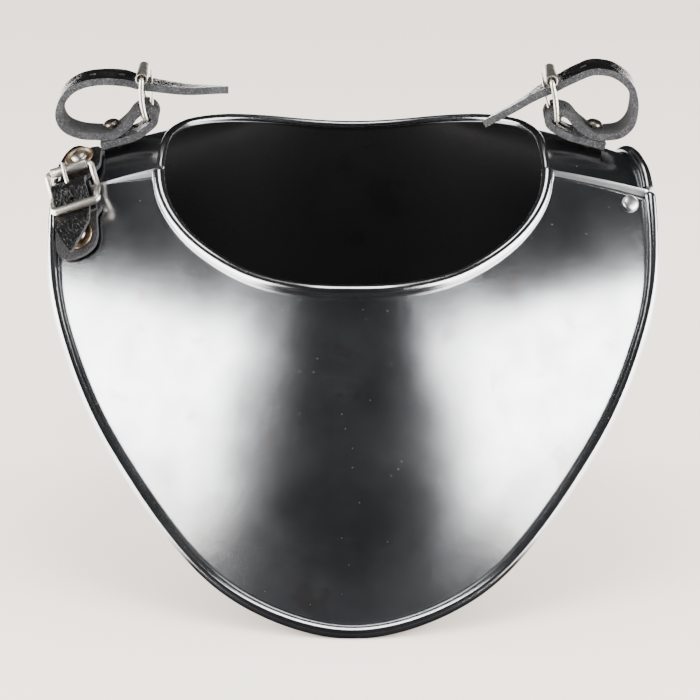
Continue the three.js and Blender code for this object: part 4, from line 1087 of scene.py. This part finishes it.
FOLD_ROWS = ((0.15, -0.035, 0.5), (0.02, 0.012, 0.5), (-0.11, 0.05, 0.5), (-0.25, 0.11, 0.5))
AFTER_FOLD_ROWS = ((-0.216, 0.305, 1), (-0.148, 0.21, 1), (-0.072, 0.085, 1.5), (0.01, 0.02, 1.5),
                   (0.092, -0.005, 1.5))
LOOP_ROWS = {
    "right": ((0.18, -0.005, 1.5), (0.27, 0.15, 0), (0.345, 0.205, 0), (0.4, 0.3, 0), (0.422, 0.435, 0),
              (0.422, 0.57, 0), (0.378, 0.745, 0), (0.222, 0.9, 0), (0.032, 0.935, 0), (-0.11, 0.872, 0),
              (-0.344, 0.715, 0), (-0.494, 0.615, 0), (-0.692, 0.455, 0), (-1, 0.232, 0)),
    "left": ((0.2, 0, 1.5), (0.36, 0.16, 0), (0.492, 0.245, 0), (0.542, 0.37, 0), (0.514, 0.555, 0),
             (0.434, 0.69, 0), (0.31, 0.775, 0), (0.138, 0.812, 0), (-0.072, 0.8, 0), (-0.298, 0.728, 0),
             (-0.658, 0.665, 0), (-1.066, 0.652, 0)),
}
FOLD_BARS = {"right": Vector((-0.316 * STRAP_REACH, 0, 0.34 * STRAP_RISE)),
             "left": Vector((-0.288 * STRAP_REACH, 0, 0.36 * STRAP_RISE))}
ROW_BAR = -0.338 * STRAP_REACH
FOLD_TURNS = (215, 180, 145, 110, 75)
TONGUE_TWIST = {"right": (0.05, 0.13, 0.2, 0.22, 0.22), "left": (-0.01, -0.07, -0.15, -0.2, -0.22)}
FRAME_LEAN = {"right": -8, "left": 5}
HOLE_PLACES = (11 * MM, -2.8 * MM, -28 * MM)
FRAME_BOW = {"right": 0.5 * MM, "left": 1.1 * MM}


def strap_row(row, inner_share=1):
    """A row of a route. Inner_share draws the rows near the fold to a bar that is nearer the rivet."""
    out, up, layer = row
    out *= STRAP_REACH * (inner_share if out < 0 else 1)
    return (out, up * STRAP_RISE + layer * (STRAP + CLEARANCE), STRAP_WIDTH, 0, 0)


def strap_route(name):
    fold_radius = WIRE / 2 + FOLD_ROOM + STRAP / 2
    bar = FOLD_BARS[name]
    rows = [strap_row(row, bar.x / ROW_BAR) for row in FOLD_ROWS]
    for degrees in FOLD_TURNS:
        angle = math.radians(degrees)
        rows.append((bar.x + fold_radius * math.cos(angle), bar.z + fold_radius * math.sin(angle),
                     STRAP_WIDTH, 0, 0))
    rows += [strap_row(row, bar.x / ROW_BAR) for row in AFTER_FOLD_ROWS]
    rows += [strap_row(row) for row in LOOP_ROWS[name]]
    tip, before = np.array(rows[-1]), np.array(rows[-2])
    rows.insert(-1, tuple(before + (tip - before) * 0.55))
    rows[-1] = (*rows[-1][:2], STRAP_WIDTH * 0.12, 0, 0)
    for number, twist in zip(range(-5, 0), TONGUE_TWIST[name]):
        rows[number] = (*rows[number][:4], twist)
    return rows


def route_spot(rows, out):
    """The route's upper run at a distance out from the rivet, and the direction square to it."""
    curve = route_curve(rows)
    run = curve(np.linspace(0, 1, ROUTE_SAMPLES))
    near = np.where(np.abs(run[:, 0] - out) < 0.2 * MM, run[:, 1], -1)
    i = min(max(int(np.argmax(near)), 1), ROUTE_SAMPLES - 2)
    way = run[i + 1] - run[i - 1]
    return Vector((run[i][0], 0, run[i][1])), Vector((-way[1], 0, way[0])).normalized()


def shoulder_set(side, name):
    seat, out = plate_seat(side * STRAP_PLACE[0], STRAP_PLACE[1], True)
    holder = Matrix.Translation(seat + Vector((0, 0, STRAP_SEAT)))
    if side < 0:
        holder = holder @ Matrix.Rotation(math.pi, 4, "Z")
    bar = FOLD_BARS[name]
    route = strap_route(name)
    strap = leather_strip(f"loop_strap_{name}", route, STRAP, holder, 230, 22, grain_out=False)
    for place in HOLE_PLACES:
        spot, square = route_spot(route, place)
        punch(strap, holder @ spot, holder.to_3x3() @ square, STRAP_HOLE, 3 * STRAP)

    lean = math.radians(FRAME_LEAN[name])
    rise = Vector((math.sin(lean), 0, math.cos(lean)))
    sideways = Vector((math.cos(lean), 0, -math.sin(lean)))
    half_width = STRAP_WIDTH / 2 + SIDE_ROOM + WIRE / 2
    middle = bar + rise * (FRAME_LENGTH / 2)
    ring = []
    for along, across in rounded_ring(FRAME_LENGTH / 2, half_width, FRAME_CORNER):
        bow = FRAME_BOW[name] * math.cos(math.pi * along / FRAME_LENGTH)
        ring.append(holder @ (middle + rise * along + sideways * bow + Vector((0, across, 0))))
    finish_wire(wire_piece(f"loop_frame_{name}", ring, WIRE, True), f"shoulder_frame_{name}")

    roller_middle = bar + rise * FRAME_LENGTH
    length = 2 * half_width / MM + ROLLER_EXTRA
    roller = tube(f"loop_roller_{name}", ROLLER_BORE, SHOULDER_ROLLER / 2, length)
    set_in_place(roller, holder @ roller_middle, (0, 1, 0), nickel, f"shoulder_roller_{name}")

    prong = prong_points(bar, roller_middle, -sideways, WIRE, SHOULDER_ROLLER * MM, PRONG)
    fold_radius = WIRE / 2 + FOLD_ROOM + STRAP / 2
    slot = (3 * fold_radius, PRONG + 2 * CLEARANCE + SLOT_ROOM, 2.5 * fold_radius)
    cut_slot(strap, holder, bar - Vector((0.4 * fold_radius, 0, 0)), slot)
    prong_hole(strap, holder, prong, PRONG)
    finish_leather(strap, f"shoulder_strap_{name}", 5 + side)
    finish_wire(wire_piece(f"loop_prong_{name}", [holder @ p for p in prong], PRONG, False, pointed),
                f"shoulder_prong_{name}")

    height = STRAP_SEAT + 2 * (STRAP + CLEARANCE) + HEAD_LIFT
    foot = (height + SHEET) / MM + RIVET_TAIL
    rivet = turned(f"loop_rivet_{name}", dome(RIVET_HEAD, RIVET_RISE, RIVET_SHANK, foot))
    set_in_place(rivet, seat + out * height, out, rivet_metal, f"shoulder_rivet_{name}")


shoulder_set(1, "right")
shoulder_set(-1, "left")

# %% [markdown]
# The closure lies over the seam of the plates. The strap is riveted to the back plate, passes under the
# roller and over the middle bar, and slips under the keeper bar. The tab is riveted to the front plate and
# folded round the middle bar. All of it is made in the closure's own frame: x along the strap, y across, z
# away from the steel.

# %% The closure's frame
SIDE_STRAP = 2.2 * MM
SIDE_WIDTH = 17 * MM
SIDE_REACH = 36 * MM
TAB_WIDTH = 22 * MM
FOLD_WIDTH = 16 * MM
SIDE_LENGTH = 22.2 * MM
SIDE_CORNER = 1.8 * MM
SIDE_ROLLER = 4.9
SIDE_ROLLER_BORE = 1.55
SIDE_ROLLER_GAP = 0.6
SIDE_HOLE = 2.4 * MM
KEEPER_FLAT = 2.6 * MM
SIDE_PRONG = 2.2 * MM
PRONG_ASIDE = -2 * MM
SEAT_LIFT = 0.9 * MM
WASHER_WIDTH = 14
WASHER_SHEET = 0.8
CLOSURE_PLACE = (-1, 0.81)
CLOSURE_LEAN = math.radians(18)
UPPER_RIVET = (-0.414, 0.265)
LOWER_RIVET = (0.738, -0.141)

closure_seat, closure_up = plate_seat(*CLOSURE_PLACE, False)
closure_across = Vector((math.cos(CLOSURE_LEAN), 0, math.sin(CLOSURE_LEAN)))
closure_along = -closure_up.cross(closure_across).normalized()
closure_out = closure_along.cross(closure_across).normalized()
closure_out *= math.copysign(1, closure_out.dot(closure_up))
axes = Matrix((closure_along, closure_out.cross(closure_along), closure_out)).transposed()
closure = Matrix.Translation(closure_seat) @ axes.to_4x4()
to_closure = closure.inverted()

LAYER = SIDE_STRAP + CLEARANCE
SIDE_BAR = Vector((0.15 * SIDE_REACH, 0, 1.52 * LAYER + WIRE / 2))
ROLLER_PLACE = Vector((SIDE_BAR.x - 0.53 * SIDE_LENGTH, 0,
                       2.0 * LAYER + SIDE_STRAP / 2 + SIDE_ROLLER * MM / 2))
KEEPER = Vector((ROLLER_PLACE.x + SIDE_LENGTH, 0, 3 * LAYER + CLEARANCE + 0.7 * WIRE))
FRAME_HALF_WIDTH = SIDE_WIDTH / 2 + SIDE_ROOM + WIRE / 2 + 0.7 * MM
FRAME_WIRE = 2.8 * MM


def seat_under(along, aside, back):
    """A rivet's seat on a plate under a point of the closure, found in a few straight steps."""
    goal = Vector((along * SIDE_REACH, aside * SIDE_WIDTH))
    turn, reach = CLOSURE_PLACE
    step = 0.001
    for _ in range(8):
        here = (to_closure @ plate_seat(turn, reach, back)[0]).xy
        by_turn = ((to_closure @ plate_seat(turn + step, reach, back)[0]).xy - here) / step
        by_reach = ((to_closure @ plate_seat(turn, reach + step, back)[0]).xy - here) / step
        gap = goal - here
        area = by_turn.x * by_reach.y - by_turn.y * by_reach.x
        turn += (gap.x * by_reach.y - gap.y * by_reach.x) / area
        reach += (gap.y * by_turn.x - gap.x * by_turn.y) / area
    return plate_seat(turn, reach, back)


upper_seat, upper_axis = seat_under(*UPPER_RIVET, True)
lower_seat, lower_axis = seat_under(*LOWER_RIVET, False)
print("rivets", [round(v / MM, 1) for v in upper_seat], [round(v / MM, 1) for v in lower_seat])

# %% [markdown]
# The strap and the tab follow tables, as the shoulder straps do. Round a rivet the leather lies on its plate
# and takes the plate's slope, and in between it goes over and under the bars. STRAP_ROWS, POINT_ROWS and the
# TAB rows give place along, layers below, width and middle. The ENDS rows give place, width and middle.

# %% Strap and tab
STRAP_ROWS = ((-0.035, 1.9, 0.98, -0.06), (0.045, 3.36, 0.98, -0.08), (0.15, 3.98, 0.98, -0.09),
              (0.25, 3.46, 0.98, -0.09), (0.35, 2.75, 0.98, -0.1), (0.42, 2.5, 0.98, -0.12))
POINT_ROWS = ((0.54, 0, 1, -0.18), (0.66, 0, 0.98, -0.23), (0.72, -0.05, 0.86, -0.26),
              (1.04, -0.3, 0.07, -0.42))
TAB_ROWS = ((0.43, 0.42, 0.88, 0.04), (0.3, 0.46, 0.76, 0.04))
TAB_BACK_ROWS = ((0.265, 1.95, 0.78, 0), (0.36, 1.52, 0.78, 0), (0.48, 1.46, 0.78, 0))
UPPER_ENDS = ((-0.175, 0.2, 0.24), (-0.165, 0.5, 0.24), (-0.12, 0.78, 0.22), (0, 0.88, 0.16),
              (0.21, 0.9, 0.06))
LOWER_ENDS = ((0.285, 0.16, -0.13), (0.27, 0.45, -0.13), (0.22, 0.75, -0.12), (0.1, 0.94, -0.09),
              (0, 0.96, -0.06), (-0.22, 0.94, 0.02))
TAB_TURNS = (270, 225, 180, 135, 90)


def closure_rows(rows, width, base):
    return [(place * SIDE_REACH, base + layer * LAYER, wide * width, middle * width, 0)
            for place, layer, wide, middle in rows]


def round_rivet(seat, axis, rows, width, heading):
    local = to_closure @ seat
    out = to_closure.to_3x3() @ axis
    slope = -out.x / out.z
    lift = CLEARANCE + SEAT_LIFT + SIDE_STRAP / 2
    return [(local.x + out.x * lift + place * SIDE_REACH, local.z + out.z * lift + place * SIDE_REACH * slope,
             wide * width, local.y + out.y * lift + aside * width, -heading * math.asin(out.y))
            for place, wide, aside in rows]


leather_top = CLEARANCE + SEAT_LIFT + SIDE_STRAP
head_seat = leather_top + CLEARANCE + WASHER_SHEET * MM
dome_top = head_seat + CLEARANCE + (HEAD_FOOT + RIVET_RISE) * MM
over_rivet = (to_closure @ lower_seat).z + (to_closure.to_3x3() @ lower_axis).z * dome_top
strap_rows = round_rivet(upper_seat, upper_axis, UPPER_ENDS, SIDE_WIDTH, 1)
strap_rows += closure_rows(STRAP_ROWS, SIDE_WIDTH, CLEARANCE)
strap_rows += closure_rows(POINT_ROWS, SIDE_WIDTH, over_rivet + CLEARANCE + SIDE_STRAP / 2)
side_strap = leather_strip("closure_strap", strap_rows, SIDE_STRAP, closure, 150, 34)

tab_radius = WIRE / 2 + CLEARANCE + SIDE_STRAP / 2
tab_rows = round_rivet(lower_seat, lower_axis, LOWER_ENDS, TAB_WIDTH, -1)
tab_rows += closure_rows(TAB_ROWS, TAB_WIDTH, CLEARANCE)
for degrees in TAB_TURNS:
    angle = math.radians(degrees)
    tab_rows.append((SIDE_BAR.x + tab_radius * math.cos(angle), SIDE_BAR.z + tab_radius * math.sin(angle),
                     FOLD_WIDTH, 0.03 * FOLD_WIDTH, 0))
tab_rows += closure_rows(TAB_BACK_ROWS, TAB_WIDTH, CLEARANCE)
side_tab = leather_strip("closure_tab", tab_rows, SIDE_STRAP, closure, 140, 30)

# %% [markdown]
# The buckle's frame is one ring of wire. It dips to the middle bar, where the tab holds it, and arches over
# the strap at the keeper end. The prong is hooked on the middle bar and rests on the roller.

# %% Buckle
KEEPER_SHARE = 0.11
SIDE_HOLE_PLACE = Vector((0.29 * SIDE_REACH, -0.09 * SIDE_WIDTH, 3 * LAYER))


def frame_height(x):
    end, flat = (ROLLER_PLACE, 0) if x < SIDE_BAR.x else (KEEPER, KEEPER_FLAT)
    share = min(abs(x - SIDE_BAR.x) / (abs(end.x - SIDE_BAR.x) - flat), 1)
    return SIDE_BAR.z + (end.z - SIDE_BAR.z) * share * share * (3 - 2 * share)


def keeper_swell(share):
    """The wire is stouter along the keeper bar, which is the ring's last and first stretch."""
    from_seam = min(share, 1 - share)
    return 1 + 0.4 * max(0, 1 - from_seam / KEEPER_SHARE) ** 0.5 if from_seam < KEEPER_SHARE else 1


ring_middle = (ROLLER_PLACE.x + KEEPER.x) / 2
ring = []
for along, across in rounded_ring(SIDE_LENGTH / 2, FRAME_HALF_WIDTH, SIDE_CORNER, side_steps=24):
    x = ring_middle + along
    ring.append(closure @ Vector((x, across, frame_height(x))))
ends = [closure @ Vector((SIDE_BAR.x, side * FRAME_HALF_WIDTH, SIDE_BAR.z)) for side in (-1, 1)]
frame_wire = wire_piece("closure_frame", ring, FRAME_WIRE, True, keeper_swell)
bar_wire = wire_piece("closure_bar", ends, WIRE, False)
finish_wire(join_pieces([frame_wire, bar_wire]), "side_frame")


side_axis = axes.col[1]
roller_length = 2 * (FRAME_HALF_WIDTH - SIDE_CORNER) / MM - SIDE_ROLLER_GAP
side_roller = tube("closure_roller", SIDE_ROLLER_BORE, SIDE_ROLLER / 2, roller_length)
set_in_place(side_roller, closure @ ROLLER_PLACE, side_axis, nickel, "side_roller")

aside = Vector((0, PRONG_ASIDE, 0))
side_prong = prong_points(SIDE_BAR + aside, ROLLER_PLACE + aside, Vector((0, 0, 1)), WIRE,
                          SIDE_ROLLER * MM, SIDE_PRONG)
prong_hole(side_strap, closure, side_prong, SIDE_PRONG)
punch(side_strap, closure @ SIDE_HOLE_PLACE, closure_out, SIDE_HOLE, 3 * LAYER)
slot = (2.9 * tab_radius, SIDE_PRONG + 2 * CLEARANCE + SLOT_ROOM, 3 * tab_radius)
cut_slot(side_tab, closure, SIDE_BAR + aside - Vector((0.2 * tab_radius, 0, 0)), slot)
finish_leather(side_strap, "side_strap", 11)
finish_leather(side_tab, "side_chape", 17)
prong_wire = wire_piece("closure_prong", [closure @ p for p in side_prong], SIDE_PRONG, False, pointed)
finish_wire(prong_wire, "side_prong")

# %% [markdown]
# Each of the closure's rivets sits in a dished washer, whose raised rim catches the light.

# %% Closure rivets and washers
hole = RIVET_SHANK / 2 + 0.3
WASHER_ROWS = [(hole, 0), (WASHER_WIDTH * 0.4, 0), (WASHER_WIDTH * 0.47, 0.35),
               (WASHER_WIDTH / 2, WASHER_SHEET), (WASHER_WIDTH / 2 + 0.05, 1.3),
               (WASHER_WIDTH / 2 - 0.15, 1.6), (WASHER_WIDTH * 0.45, 1.62), (WASHER_WIDTH * 0.41, 1.3),
               (WASHER_WIDTH * 0.36, 0.85), (hole, WASHER_SHEET), (hole, 0)]
rivet_foot = (head_seat + SHEET) / MM + RIVET_TAIL
for name, seat, axis in (("upper", upper_seat, upper_axis), ("lower", lower_seat, lower_axis)):
    ring = turned(f"closure_washer_{name}", WASHER_ROWS, closed=True)
    set_in_place(ring, seat + axis * (leather_top + CLEARANCE), axis, bronze, f"side_washer_{name}")
    rivet = turned(f"closure_rivet_{name}", dome(RIVET_HEAD, RIVET_RISE, RIVET_SHANK, rivet_foot))
    set_in_place(rivet, seat + axis * head_seat, axis, rivet_metal, f"side_rivet_{name}")
